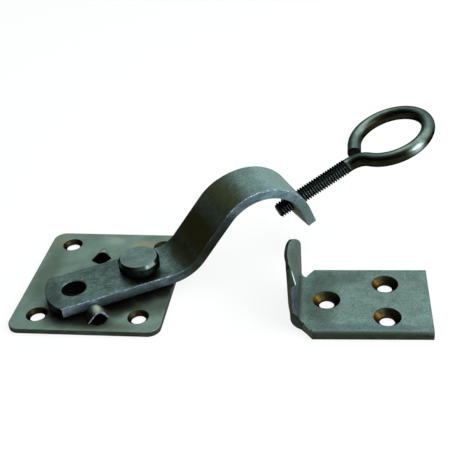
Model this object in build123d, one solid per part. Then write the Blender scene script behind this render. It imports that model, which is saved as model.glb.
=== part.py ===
from build123d import *
import os
from math import cos, radians, sin

# A screw-down swing latch in flat steel. Millimetres, +Z away from the leaf it is screwed to.
# The origin is the middle of the base plate's underside, and +X points at the keeper.

# Base plate
plate_length = 69.0
plate_width = 74.3
plate_thickness = 2.6
plate_corner_radius = 5.5
plate_hole_spacing_x = 46.5
plate_hole_spacing_y = 53.9
plate_hole_diameter = 6.6
plate_countersink_diameter = 9.4

# Nibs pressed up from the plate, hollow underneath, with an open mouth and a gap in the plate before it.
# The nib of the open arm keeps its height up to the arm's side, and that of the closed arm falls to a point.
nib_mouth_width = 10.0
nib_ridge_width = 3.2
nib_ridge_shift = 1.0
nib_height = 4.4
nib_length = 11.0
nib_wall = 1.3
nib_gap_reach = 3.4
nib_gap_width = 3.0
nib_gap_margin = 0.4
open_nib_along = -26.1
open_nib_reach = 6.7
open_nib_clearance = 0.4
closed_nib_along = -24.3
closed_nib_reach = 1.36
closed_nib_turn = 15.0

# Pivot stud
pivot_x = 18.6
journal_diameter = 12.0
tenon_diameter = 9.0
tenon_flare = 1.2
stud_head_diameter = 19.0
stud_head_height = 5.5
stud_head_chamfer_width = 1.0
stud_head_chamfer_height = 1.5

# Washers under and over the arm
spacer_diameter = 21.0
spacer_thickness = 2.0
head_washer_diameter = 16.5
head_washer_thickness = 1.2

# Swing arm, one flat bar bent up, over and down
arm_width = 25.4
arm_thickness = 4.76
arm_open_angle = 30.8
arm_closed_angle = -2.0
arm_tail_reach = 44.1
arm_tail_radius = 21.4
arm_tail_hole_diameter = 11.1
arm_tail_hole_inset = 12.7
arm_flat_reach = 11.9
arm_rise_bend_radius = 17.5
arm_rise_angle = 48.5
arm_rise_length = 22.3
arm_arch_radius = 21.6
arm_leg_angle = 69.0
arm_leg_length = 8.9

# Ring screw, one rod threaded at one end and bent into a ring at the other
thread_diameter = 7.94
thread_pitch = 1.411
thread_depth = 0.87
thread_crest_share = 0.125
thread_turns = 29
screw_leg_offset = 0.7
screw_tip_reach = 8.2
rod_diameter = 7.1
neck_length = 1.2
ring_radius = 19.6
ring_standoff = 9.5
ring_centre_side = 0.7
ring_centre_rise = 0.3
ring_join_angle = 205.0
ring_end_angle = 166.0
ring_roll = -4.2
ring_pitch = 1.85

# Keeper plate with its bent-up lug
keeper_x = 154.07
keeper_y = -11.34
keeper_angle = 2.12
keeper_width = 44.5
keeper_thickness = 4.0
keeper_length = 62.7
keeper_corner_cut = 6.0
keeper_corner_inset = 9.7
keeper_bend_radius = 3.0
keeper_hole_diameter = 7.0
keeper_countersink_diameter = 12.2
keeper_single_hole_inset = 15.8
keeper_pair_inset = 19.9
keeper_pair_spacing = 23.3
lug_height = 32.0
lug_shoulder_radius = 12.0
lug_skew = 2.0
lug_hollow_depth = 2.0
lug_waist_share = 0.25
lug_edge_thickness = 2.6
lug_lip_thickness = 1.5

# Clearances
running_clearance = 0.08
rivet_clearance = 0.05
washer_clearance = 0.15
axial_play = 0.1
cutter_overrun = 1.0

# Heights above the leaf, and frames of the pieces
arm_bottom = plate_thickness + spacer_thickness
arm_top = arm_bottom + arm_thickness
stud_head_bottom = arm_top + head_washer_thickness + axial_play
arm_frame = Location((pivot_x, 0, 0), (0, 0, arm_open_angle))
closed_arm_frame = Location((pivot_x, 0, 0), (0, 0, arm_closed_angle))
keeper_frame = Location((keeper_x, keeper_y, 0), (0, 0, keeper_angle))

# The arm's bends as steps along its centre line: (straight length, bend radius, turn in degrees)
arm_steps = [
    (arm_tail_reach + arm_flat_reach, None, 0),
    (None, arm_rise_bend_radius + arm_thickness / 2, arm_rise_angle),
    (arm_rise_length, None, 0),
    (None, arm_arch_radius + arm_thickness / 2, -arm_rise_angle - arm_leg_angle),
    (arm_leg_length, None, 0),
]
arm_start = (-arm_tail_reach, arm_bottom + arm_thickness / 2)


def polar(length, angle):
    """A flat vector of this length at this angle in degrees."""
    return Vector(length * cos(radians(angle)), length * sin(radians(angle)))


def walk_bar(start, steps, side=0.0):
    """Follows a bent bar, a set distance to the left of its centre line.

    Returns the edges passed, and the centre line's point and heading at the end.
    """
    point = Vector(*start)
    heading = 0.0
    edges = []
    for length, radius, turn in steps:
        shift = polar(side, heading + 90)
        if turn == 0:
            ahead = point + polar(length, heading)
            edges.append(Line(point + shift, ahead + shift))
        else:
            hand = 1 if turn > 0 else -1
            centre = point + polar(hand * radius, heading + 90)
            edges.append(CenterArc(centre, radius - hand * side, heading - hand * 90, turn))
            ahead = centre + polar(radius, heading - hand * 90 + turn)
        point = ahead
        heading += turn
    return edges, point, heading


def bent_bar(start, steps, thickness, width):
    """A flat bar along the steps, its side view in XZ and its width centred on Y."""
    upper = walk_bar(start, steps, thickness / 2)[0]
    lower = walk_bar(start, steps, -thickness / 2)[0]
    first_end = Line(lower[0] @ 0, upper[0] @ 0)
    last_end = Line(lower[-1] @ 1, upper[-1] @ 1)
    outline = make_face(upper + lower + [first_end, last_end])
    upright = Plane.XZ * outline
    return extrude(upright, amount=width / 2, both=True)


def countersunk_hole(hole_diameter, sink_diameter, thickness):
    """The cutter of a right-angled countersunk hole, opening upwards at height zero plus the thickness."""
    sink_depth = (sink_diameter - hole_diameter) / 2
    profile = Polyline(
        (0, -cutter_overrun),
        (hole_diameter / 2, -cutter_overrun),
        (hole_diameter / 2, thickness - sink_depth),
        (sink_diameter / 2, thickness),
        (sink_diameter / 2, thickness + cutter_overrun),
        (0, thickness + cutter_overrun),
        close=True,
    )
    return revolve(Plane.XZ * make_face(profile), Axis.Z)


def nib_section(base_width, ridge_width, base_height, top_height):
    """The upright outline of a nib's mouth on Y zero, its ridge a little to one side."""
    outline = Polyline(
        (-base_width / 2, base_height),
        (base_width / 2, base_height),
        (nib_ridge_shift + ridge_width / 2, top_height),
        (nib_ridge_shift - ridge_width / 2, top_height),
        close=True,
    )
    return (Plane.XZ * make_face(outline)).face()


def make_nib(level_length=None):
    """The solid and the cutter of one nib, its mouth facing -Y.

    Its ridge stays level over the length given, or else falls to a point.
    """
    nib_top = plate_thickness + nib_height
    hollow_top = nib_top - nib_wall
    hollow_ridge = nib_ridge_width - nib_wall
    side_slope = (nib_mouth_width - nib_ridge_width) / nib_height
    hollow_width = hollow_ridge + hollow_top * side_slope
    mouth = nib_section(nib_mouth_width, nib_ridge_width, plate_thickness, nib_top)
    hollow_mouth = nib_section(hollow_width, hollow_ridge, 0, hollow_top)
    if level_length is None:
        hollow_length = nib_length * hollow_top / nib_height
        solid = loft([mouth, Vertex(nib_ridge_shift, nib_length, plate_thickness)])
        hollow = loft([hollow_mouth, Vertex(nib_ridge_shift, hollow_length, 0)])
    else:
        solid = extrude(mouth, level_length, dir=(0, 1, 0))
        hollow = extrude(hollow_mouth, level_length - nib_wall, dir=(0, 1, 0))
    gap_half = nib_mouth_width / 2 - nib_gap_margin
    gap_outline = Polyline(
        (-gap_half, 0),
        (-nib_gap_width / 2, -nib_gap_reach),
        (nib_gap_width / 2, -nib_gap_reach),
        (gap_half, 0),
        close=True,
    )
    gap = extrude(make_face(gap_outline), plate_thickness)
    return solid, hollow + gap


def make_base_plate():
    """The square plate with its four screw holes, the stud's hole and the two nibs."""
    outline = RectangleRounded(plate_length, plate_width, plate_corner_radius)
    plate = extrude(outline, plate_thickness)
    screw_hole = countersunk_hole(plate_hole_diameter, plate_countersink_diameter, plate_thickness)
    for place in GridLocations(plate_hole_spacing_x, plate_hole_spacing_y, 2, 2):
        plate -= place * screw_hole
    stud_hole = stud_tenon(rivet_clearance)
    plate -= Location((pivot_x, 0, 0)) * stud_hole
    open_side = -arm_width / 2 - open_nib_reach
    closed_side = arm_width / 2 + closed_nib_reach
    open_place = arm_frame * Location((open_nib_along, open_side, 0))
    closed_place = closed_arm_frame * Location((closed_nib_along, closed_side, 0), (0, 0, closed_nib_turn))
    level_length = open_nib_reach - open_nib_clearance
    for place, nib in ((open_place, make_nib(level_length)), (closed_place, make_nib())):
        solid, hollow = nib
        plate += place * solid
        plate -= place * hollow
    return plate


def stud_tenon(clearance):
    """The stud's riveted end inside the plate, flared underneath."""
    radius = tenon_diameter / 2 + clearance
    profile = Polyline(
        (0, 0),
        (radius + tenon_flare, 0),
        (radius, tenon_flare),
        (radius, plate_thickness),
        (0, plate_thickness),
        close=True,
    )
    return revolve(Plane.XZ * make_face(profile), Axis.Z)


def make_pivot_stud():
    """The stud: riveted tenon, journal for the arm and washers, and the broad chamfered head."""
    head_radius = stud_head_diameter / 2
    head_top = stud_head_bottom + stud_head_height
    profile = Polyline(
        (0, plate_thickness),
        (journal_diameter / 2, plate_thickness),
        (journal_diameter / 2, stud_head_bottom),
        (head_radius, stud_head_bottom),
        (head_radius, head_top - stud_head_chamfer_height),
        (head_radius - stud_head_chamfer_width, head_top),
        (0, head_top),
        close=True,
    )
    stud = revolve(Plane.XZ * make_face(profile), Axis.Z)
    stud += stud_tenon(0)
    return Location((pivot_x, 0, 0)) * stud


def make_washer(outer_diameter, thickness, bottom):
    """A flat washer on the stud's journal."""
    bore_radius = journal_diameter / 2 + washer_clearance
    ring = Circle(outer_diameter / 2) - Circle(bore_radius)
    return Location((pivot_x, 0, bottom)) * extrude(ring, thickness)


def screw_frame():
    """The screw's frame in the arm's frame: origin at the screw's tip, +X along the screw to the ring."""
    _, leg_root, heading = walk_bar(arm_start, arm_steps[:-1])
    crossing = leg_root + polar(screw_leg_offset, heading)
    outward = heading + 90
    tip = crossing - polar(arm_thickness / 2 + screw_tip_reach, outward)
    return Location((tip.X, 0, tip.Y)) * Rotation(0, -outward, 0)


def make_swing_arm():
    """The arm: bent flat bar with a round tail, the pivot bore, the tail hole and the screw's bore."""
    bar = bent_bar(arm_start, arm_steps, arm_thickness, arm_width)
    tail_centre = arm_tail_radius - arm_tail_reach
    bar_reach = arm_tail_reach + arm_flat_reach + arm_rise_length + 2 * arm_arch_radius + arm_width
    tail_outline = Pos(tail_centre, 0) * Circle(arm_tail_radius)
    tail_outline += Pos(tail_centre + bar_reach / 2, 0) * Rectangle(bar_reach, 2 * arm_width)
    bar &= extrude(tail_outline, bar_reach)
    drill_length = 2 * (arm_top + cutter_overrun)
    leg_middle = Pos(screw_tip_reach + arm_thickness / 2, 0, 0)
    bar -= Cylinder(journal_diameter / 2 + running_clearance, drill_length)
    tail_drill = Cylinder(arm_tail_hole_diameter / 2, drill_length)
    bar -= Pos(arm_tail_hole_inset - arm_tail_reach, 0, 0) * tail_drill
    screw_drill = Rotation(0, 90, 0) * Cylinder(thread_diameter / 2 + running_clearance, 2 * arm_thickness)
    bar -= screw_frame() * leg_middle * screw_drill
    return arm_frame * bar


def make_screw_shank():
    """The threaded end of the screw, its thread as one ridge a pitch."""
    crest = thread_diameter / 2
    root = crest - thread_depth
    crest_half = thread_crest_share * thread_pitch / 2
    points = [(0, 0), (0, root)]
    for turn in range(thread_turns):
        middle = (turn + 0.5) * thread_pitch
        points.append((middle - crest_half, crest))
        points.append((middle + crest_half, crest))
        points.append(((turn + 1) * thread_pitch, root))
    points.append((thread_turns * thread_pitch, 0))
    shank = revolve(make_face(Polyline(*points, close=True)), Axis.X)
    return arm_frame * screw_frame() * shank


def make_screw_ring():
    """The plain end of the rod: a short neck, a side bend and the ring, its cut end back at the neck."""
    thread_length = thread_turns * thread_pitch
    bend_start = thread_length + neck_length
    centre_reach = thread_length + ring_standoff + ring_radius
    centre_place = Pos(centre_reach, ring_centre_side, ring_centre_rise)
    ring_centre = Rotation(ring_roll, 0, 0) * centre_place * Rotation(0, ring_pitch, 0)
    ring_sweep = 360 + ring_end_angle - ring_join_angle
    ring_arc = ring_centre * CenterArc((0, 0), ring_radius, ring_join_angle, ring_sweep)
    neck = Line((thread_length, 0), (bend_start, 0))
    side_bend = Spline((bend_start, 0, 0), ring_arc @ 0, tangents=[neck % 1, ring_arc % 0])
    path = Wire([neck.edge(), side_bend.edge(), ring_arc.edge()])
    section = Plane(origin=(thread_length, 0, 0), z_dir=(1, 0, 0)) * Circle(rod_diameter / 2)
    return arm_frame * screw_frame() * sweep(section, path)


def lug_section(height, half_width, back, skew, hollow, edge_thickness, middle_thickness):
    """A level section of the lug, bowed away from +X by the hollow's depth, its +Y end skewed to +X."""
    far_back = Vector(back + skew, half_width)
    far_front = far_back + Vector(edge_thickness, 0)
    near_back = Vector(back - skew, -half_width)
    near_front = near_back + Vector(edge_thickness, 0)
    back_middle = Vector(back - hollow, 0)
    front_middle = back_middle + Vector(middle_thickness, 0)
    edges = [
        ThreePointArc(near_back, back_middle, far_back),
        Line(far_back, far_front),
        ThreePointArc(far_front, front_middle, near_front),
        Line(near_front, near_back),
    ]
    return Pos(0, 0, height) * make_face(edges)


def make_keeper_plate():
    """The keeper: plate with cut corners and three countersunk holes, bent up into the hollowed lug."""
    bend_outer = keeper_bend_radius + keeper_thickness
    lug_half_width = keeper_width / 2 - keeper_corner_cut
    steps = [
        (keeper_length - bend_outer, None, 0),
        (None, keeper_bend_radius + keeper_thickness / 2, 90),
    ]
    strip = bent_bar((0, keeper_thickness / 2), steps, keeper_thickness, keeper_width)
    strip = Rotation(0, 0, 180) * strip
    corner_start = keeper_corner_inset - keeper_length
    corner_end = corner_start - keeper_corner_cut
    plan = Polyline(
        (0, keeper_width / 2),
        (corner_start, keeper_width / 2),
        (corner_end, lug_half_width),
        (-keeper_length - cutter_overrun, lug_half_width),
        (-keeper_length - cutter_overrun, -lug_half_width),
        (corner_end, -lug_half_width),
        (corner_start, -keeper_width / 2),
        (0, -keeper_width / 2),
        close=True,
    )
    strip &= extrude(make_face(plan), lug_height)
    keeper = strip + make_lug(lug_half_width, bend_outer)
    hole = countersunk_hole(keeper_hole_diameter, keeper_countersink_diameter, keeper_thickness)
    hole_places = [
        (keeper_single_hole_inset - keeper_length, 0),
        (-keeper_pair_inset, keeper_pair_spacing / 2),
        (-keeper_pair_inset, -keeper_pair_spacing / 2),
    ]
    for place in hole_places:
        keeper -= Pos(*place) * hole
    return keeper_frame * keeper


def make_lug(half_width, root_height):
    """The upright lug above its bend, hollowed on its +X side towards a thin rounded lip."""
    back = -keeper_length
    foot = Pos(back + keeper_thickness / 2, 0, root_height) * Rectangle(keeper_thickness, 2 * half_width)
    waist_height = (root_height + lug_height) / 2
    waist_thickness = (keeper_thickness + lug_edge_thickness) / 2
    waist_skew = lug_waist_share * lug_skew
    waist_hollow = lug_waist_share * lug_hollow_depth
    waist = lug_section(
        waist_height, half_width, back, waist_skew, waist_hollow, waist_thickness, waist_thickness
    )
    lip = lug_section(
        lug_height, half_width, back, lug_skew, lug_hollow_depth, lug_edge_thickness, lug_lip_thickness
    )
    blank = loft([foot.face(), waist.face(), lip.face()])
    outline = Pos(0, lug_height / 2) * Rectangle(2 * half_width, lug_height)
    shoulders = outline.vertices().group_by(Axis.Y)[-1]
    front_view = fillet(shoulders, lug_shoulder_radius)
    upright = Plane(origin=(0, 0, 0), x_dir=(0, 1, 0), z_dir=(1, 0, 0)) * front_view
    return blank & extrude(upright, amount=2 * keeper_length, both=True)


pieces = {
    "base_plate": make_base_plate(),
    "pivot_stud": make_pivot_stud(),
    "spacer_washer": make_washer(spacer_diameter, spacer_thickness, plate_thickness),
    "head_washer": make_washer(head_washer_diameter, head_washer_thickness, arm_top),
    "swing_arm": make_swing_arm(),
    "screw_shank": make_screw_shank(),
    "screw_ring": make_screw_ring(),
    "keeper_plate": make_keeper_plate(),
}

os.makedirs("parts", exist_ok=True)
for name, piece in pieces.items():
    export_step(piece, f"parts/{name}.step")
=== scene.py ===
"""Looks of a screw-down swing latch in dark steel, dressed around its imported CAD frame."""

import logging
from collections.abc import Callable, Iterator, Sequence
from contextlib import contextmanager
from dataclasses import dataclass, field
from enum import Enum, IntEnum
from math import atan, cos, degrees, hypot, inf, pi, radians, sin, sqrt, tan

import bpy
from mathutils import Euler, Matrix, Vector

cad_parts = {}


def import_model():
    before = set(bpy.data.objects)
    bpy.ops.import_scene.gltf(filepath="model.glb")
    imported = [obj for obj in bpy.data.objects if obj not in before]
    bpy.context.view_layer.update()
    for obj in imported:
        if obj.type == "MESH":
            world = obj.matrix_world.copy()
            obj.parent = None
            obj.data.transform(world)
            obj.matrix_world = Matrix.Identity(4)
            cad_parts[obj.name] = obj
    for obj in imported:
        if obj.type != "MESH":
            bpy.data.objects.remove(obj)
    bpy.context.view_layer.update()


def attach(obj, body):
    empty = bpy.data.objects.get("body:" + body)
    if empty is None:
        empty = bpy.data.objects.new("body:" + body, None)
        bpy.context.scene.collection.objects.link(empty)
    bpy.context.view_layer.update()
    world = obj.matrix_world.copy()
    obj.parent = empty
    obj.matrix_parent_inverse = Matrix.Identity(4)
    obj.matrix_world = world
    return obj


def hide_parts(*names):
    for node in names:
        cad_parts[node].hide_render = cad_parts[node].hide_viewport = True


LOG = logging.getLogger("latch")
MM = 0.001
# The point attribute that lays painted shade over the sides of a piece turned away from one direction.
FILM = "oil_film"
# How close counts as touching, and how far a cutter stands out of the metal, in millimetres.
NEAR = 0.05
OVERCUT = 1.0
Place = tuple[float, float, float]
Profile = Sequence[tuple[float, float]]
FaceTest = Callable[[Vector, Vector], bool]
EdgeTest = Callable[[bpy.types.MeshVertex, bpy.types.MeshVertex], bool]


class Body(Enum):
    """The moving groups of the frame."""

    FIXED = "fixed"
    ARM = "arm"
    SHANK = "shank"
    RING = "ring"


class Slot(Enum):
    """The record's material slots."""

    PLATE = "plate_steel"
    STUD = "stud_steel"
    WASHER = "washer_steel"
    ARM = "arm_steel"
    SCREW = "screw_steel"
    KEEPER = "keeper_steel"


class PlateFace(IntEnum):
    """The base plate's finishes, in the order of its mesh's slots."""

    SHEET = 0
    BORE = 1
    RIM = 2
    HOLLOW = 3
    SIDE = 4


class StudFace(IntEnum):
    """The stud's finishes, in the order of its mesh's slots."""

    END = 0
    CHAMFER = 1
    SIDE = 2


class ArmFace(IntEnum):
    """The arm's finishes, in the order of its mesh's slots."""

    SCALE = 0
    SIDE = 1
    CORNER = 2
    BLACK = 3
    UNDER = 4


class ThreadFace(IntEnum):
    """The thread's finishes, in the order of its mesh's slots."""

    GROOVE = 0
    CREST = 1


class RodFace(IntEnum):
    """The ring's finishes, in the order of its mesh's slots."""

    DRAWN = 0
    CUT = 1


class KeeperFace(IntEnum):
    """The keeper's finishes, in the order of its mesh's slots."""

    STRIP = 0
    RIM = 1
    SINK = 2
    SIDE = 3
    CORNER = 4


def linear(colour: str) -> tuple[float, float, float, float]:
    """Turns an sRGB hex colour to linear RGBA.

    Args:
        colour: Six hex digits after a hash.

    Returns:
        Red, green, blue and an alpha of one.
    """
    parts = [int(colour[i : i + 2], 16) / 255 for i in (1, 3, 5)]
    red, green, blue = (c / 12.92 if c <= 0.04045 else ((c + 0.055) / 1.055) ** 2.4 for c in parts)
    return red, green, blue, 1.0


def add_node(tree: bpy.types.NodeTree, kind: str, inputs: dict | None = None, **settings) -> bpy.types.Node:
    """Adds one node with its settings, values and links.

    Args:
        tree: The node tree that takes the node.
        kind: The node's Blender type name, without its Shader prefix.
        inputs: A value or an output socket for each input, by name or index.
        settings: The node's own properties.

    Returns:
        The new node.
    """
    node = tree.nodes.new("ShaderNode" + kind)
    for name, value in settings.items():
        setattr(node, name, value)
    for name, value in (inputs or {}).items():
        if isinstance(value, bpy.types.NodeSocket):
            tree.links.new(value, node.inputs[name])
        else:
            node.inputs[name].default_value = value
    return node


def place(location_mm: Sequence[float], turn: Sequence[float] = (0.0, 0.0, 0.0)) -> Matrix:
    """Makes a frame from a place in millimetres and XYZ turns in degrees."""
    return Matrix.LocRotScale(Vector(location_mm) * MM, Euler([radians(a) for a in turn]), None)


def alone(piece: bpy.types.Object) -> None:
    """Selects one piece and makes it active.

    Args:
        piece: The object.
    """
    bpy.ops.object.select_all(action="DESELECT")
    piece.select_set(True)
    bpy.context.view_layer.objects.active = piece


@contextmanager
def editing(piece: bpy.types.Object) -> Iterator[None]:
    """Opens one piece in edit mode with all of it selected, and closes it again.

    Args:
        piece: The mesh object.

    Yields:
        Nothing, while the piece is open.
    """
    alone(piece)
    bpy.context.tool_settings.mesh_select_mode = (True, False, False)
    bpy.ops.object.mode_set(mode="EDIT")
    bpy.ops.mesh.select_all(action="SELECT")
    yield
    bpy.ops.object.mode_set(mode="OBJECT")


def round_edges(piece: bpy.types.Object, radius_mm: float, segments: int, test: EdgeTest) -> None:
    """Rounds some of a piece's edges.

    Args:
        piece: The mesh object.
        radius_mm: The rounding's reach on each side of an edge.
        segments: How many faces go across it.
        test: Tells the edges by their two ends.
    """
    mesh = piece.data
    for group in (mesh.vertices, mesh.edges, mesh.polygons):
        group.foreach_set("select", [False] * len(group))
    for edge in mesh.edges:
        edge.select = test(*(mesh.vertices[index] for index in edge.vertices))
    alone(piece)
    bpy.context.tool_settings.mesh_select_mode = (False, True, False)
    bpy.ops.object.mode_set(mode="EDIT")
    bpy.ops.mesh.bevel(offset=radius_mm * MM, segments=segments, affect="EDGES")
    bpy.ops.object.mode_set(mode="OBJECT")


def modify(piece: bpy.types.Object, kind: str, **settings) -> None:
    """Adds a modifier with its settings and applies it.

    Args:
        piece: The mesh object.
        kind: The modifier's type.
        settings: The modifier's own properties.
    """
    modifier = piece.modifiers.new(kind.lower(), kind)
    for name, value in settings.items():
        setattr(modifier, name, value)
    alone(piece)
    bpy.ops.object.modifier_apply(modifier=modifier.name)


def soften(piece: bpy.types.Object, radius_mm: float, segments: int, angle: float) -> None:
    """Rounds all edges of a piece that turn by more than an angle in degrees."""
    limit = {"limit_method": "ANGLE", "angle_limit": radians(angle)}
    modify(piece, "BEVEL", width=radius_mm * MM, segments=segments, **limit)


def close_up(piece: bpy.types.Object, reach_mm: float = 0.002) -> None:
    """Merges a piece's doubled points, drops loose ones and turns its faces outwards.

    Args:
        piece: The mesh object.
        reach_mm: How close two points are when they count as one.
    """
    with editing(piece):
        bpy.ops.mesh.remove_doubles(threshold=reach_mm * MM)
        bpy.ops.mesh.delete_loose()
        bpy.ops.mesh.select_all(action="SELECT")
        bpy.ops.mesh.normals_make_consistent(inside=False)


def lathe(name: str, profile: Profile, steps: int = 64) -> bpy.types.Object:
    """Turns a closed outline round the Z axis into a solid.

    Args:
        name: The new object's name.
        profile: Radius and height of each corner in millimetres, going round the outline.
        steps: How many faces go round.

    Returns:
        The turned solid.
    """
    bpy.ops.object.select_all(action="DESELECT")
    bpy.ops.mesh.primitive_circle_add(vertices=len(profile), fill_type="NOTHING")
    solid = bpy.context.object
    solid.name = name
    for vertex, (radius, height) in zip(solid.data.vertices, profile):
        vertex.co = (radius * MM, 0, height * MM)
    with editing(solid):
        bpy.ops.mesh.spin(steps=steps, angle=2 * pi, center=(0, 0, 0), axis=(0, 0, 1))
    close_up(solid)
    return solid


def prism(first: Sequence[Sequence[float]], last: Sequence[Sequence[float]]) -> bpy.types.Object:
    """Makes a solid between two outlines.

    Args:
        first: The corners of one end in millimetres, going round.
        last: The corners of the other end, as many, which may all be one point.

    Returns:
        The closed solid.
    """
    bpy.ops.object.select_all(action="DESELECT")
    bpy.ops.mesh.primitive_cylinder_add(vertices=len(first), end_fill_type="NGON")
    solid = bpy.context.object
    for index, corners in enumerate(zip(first, last)):
        for end, corner in enumerate(corners):
            solid.data.vertices[2 * index + end].co = Vector(corner) * MM
    close_up(solid)
    return solid


def carve(
    piece: bpy.types.Object, tool: bpy.types.Object, frame: Matrix, operation: str = "DIFFERENCE"
) -> None:
    """Cuts a tool from a piece, or joins it on, removes the tool and closes the piece up.

    Args:
        piece: The piece that stays.
        tool: The cutting or added solid, in its own frame.
        frame: Where the tool goes in the piece's frame.
        operation: The kind of cut.
    """
    tool.data.transform(frame)
    modify(piece, "BOOLEAN", object=tool, operation=operation, solver="EXACT")
    bpy.data.objects.remove(tool)
    close_up(piece)


def drill(radius: float, bottom: float, top: float, lip: float = 0.3) -> bpy.types.Object:
    """Makes the cutter of a plain hole with broken edges, upright, in millimetres.

    Args:
        radius: The hole's radius.
        bottom: The height of the lower face.
        top: The height of the upper face.
        lip: How far each edge is broken.

    Returns:
        The cutter.
    """
    profile = [
        (0, bottom - OVERCUT),
        (radius + lip, bottom - OVERCUT),
        (radius + lip, bottom),
        (radius, bottom + lip),
        (radius, top - lip),
        (radius + lip, top),
        (radius + lip, top + OVERCUT),
        (0, top + OVERCUT),
    ]
    return lathe("drill", profile)


def countersink(
    radius: float, sink_radius: float, thickness: float, lip: float = 0.18
) -> bpy.types.Object:
    """Makes the cutter of a countersunk hole whose top edge is a little rounded, in millimetres.

    Args:
        radius: The hole's radius.
        sink_radius: The countersink's radius at the top.
        thickness: The sheet's thickness, from height zero up.
        lip: How far each edge is broken.

    Returns:
        The cutter.
    """
    neck = thickness - (sink_radius - radius)
    profile = [
        (0, -OVERCUT),
        (radius + lip, -OVERCUT),
        (radius + lip, 0),
        (radius, lip),
        (radius, neck - lip / 2),
        (radius + lip / 3, neck + lip / 2),
        (sink_radius - lip, thickness - lip),
        (sink_radius + lip, thickness),
        (sink_radius + lip, thickness + OVERCUT),
        (0, thickness + OVERCUT),
    ]
    return lathe("countersink", profile)


def paint(piece: bpy.types.Object, index: int, test: FaceTest, among: int | None = None) -> None:
    """Gives faces a material slot.

    Args:
        piece: The mesh object.
        index: The slot they get.
        test: Tells the faces by their centre, in millimetres, and their normal.
        among: The slot they must have had, if that matters.
    """
    for face in piece.data.polygons:
        if among in (None, face.material_index) and test(face.center / MM, face.normal):
            face.material_index = index


def lay_film(
    piece: bpy.types.Object,
    wiped: Vector,
    clean: float,
    covered: float,
    bare: Place | None = None,
    reach: float = 1.0,
) -> None:
    """Lays painted shade over the sides of a piece turned away from one direction, as an attribute of its
    points.

    Args:
        piece: The mesh object.
        wiped: The direction, in the piece's frame, that the unshaded sides face.
        clean: The cosine to that direction from which a place is unshaded.
        covered: The cosine to it below which the painted shade covers fully.
        bare: A place kept clear of the painted shade for a painted glare, in millimetres, if there is one.
        reach: How far round that place the painted shade is thinned.
    """
    way = wiped.normalized()
    film = piece.data.attributes.new(FILM, "FLOAT", "POINT")
    for vertex, share in zip(piece.data.vertices, film.data):
        cover = min(max((clean - vertex.normal.dot(way)) / (clean - covered), 0.0), 1.0)
        if bare:
            cover *= min((vertex.co / MM - Vector(bare)).length / reach, 1.0) ** 2
        share.value = cover


def settle(
    piece: bpy.types.Object,
    frame: Matrix,
    body: Body,
    nodes: Sequence[str],
    finishes: Sequence[bpy.types.Material],
    smooth_angle: float = 32.0,
) -> bpy.types.Object:
    """Sets a finished mesh in its place, smooths it, dresses it and lets it ride on its body.

    Args:
        piece: The finished mesh object in its own frame.
        frame: The piece's frame in the latch.
        body: The body that carries it.
        nodes: The CAD nodes that it stands for.
        finishes: Its materials, in the order of its faces' slots.
        smooth_angle: The sharpest edge in degrees that is shaded smooth.

    Returns:
        The piece.
    """
    piece.data.transform(frame)
    for finish in finishes:
        piece.data.materials.append(finish)
    alone(piece)
    bpy.ops.object.shade_smooth_by_angle(angle=radians(smooth_angle))
    modify(piece, "WEIGHTED_NORMAL", keep_sharp=True)
    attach(piece, body.value)
    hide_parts(*nodes)
    LOG.info("%s: %d faces on %s", piece.name, len(piece.data.polygons), body.value)
    return piece


@dataclass(frozen=True)
class Stain:
    """A soft patch of another colour on a surface, in the piece's frame, in millimetres."""

    centre: Place
    reach: Place
    colour: str
    strength: float
    ragged: float = 0.5


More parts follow.
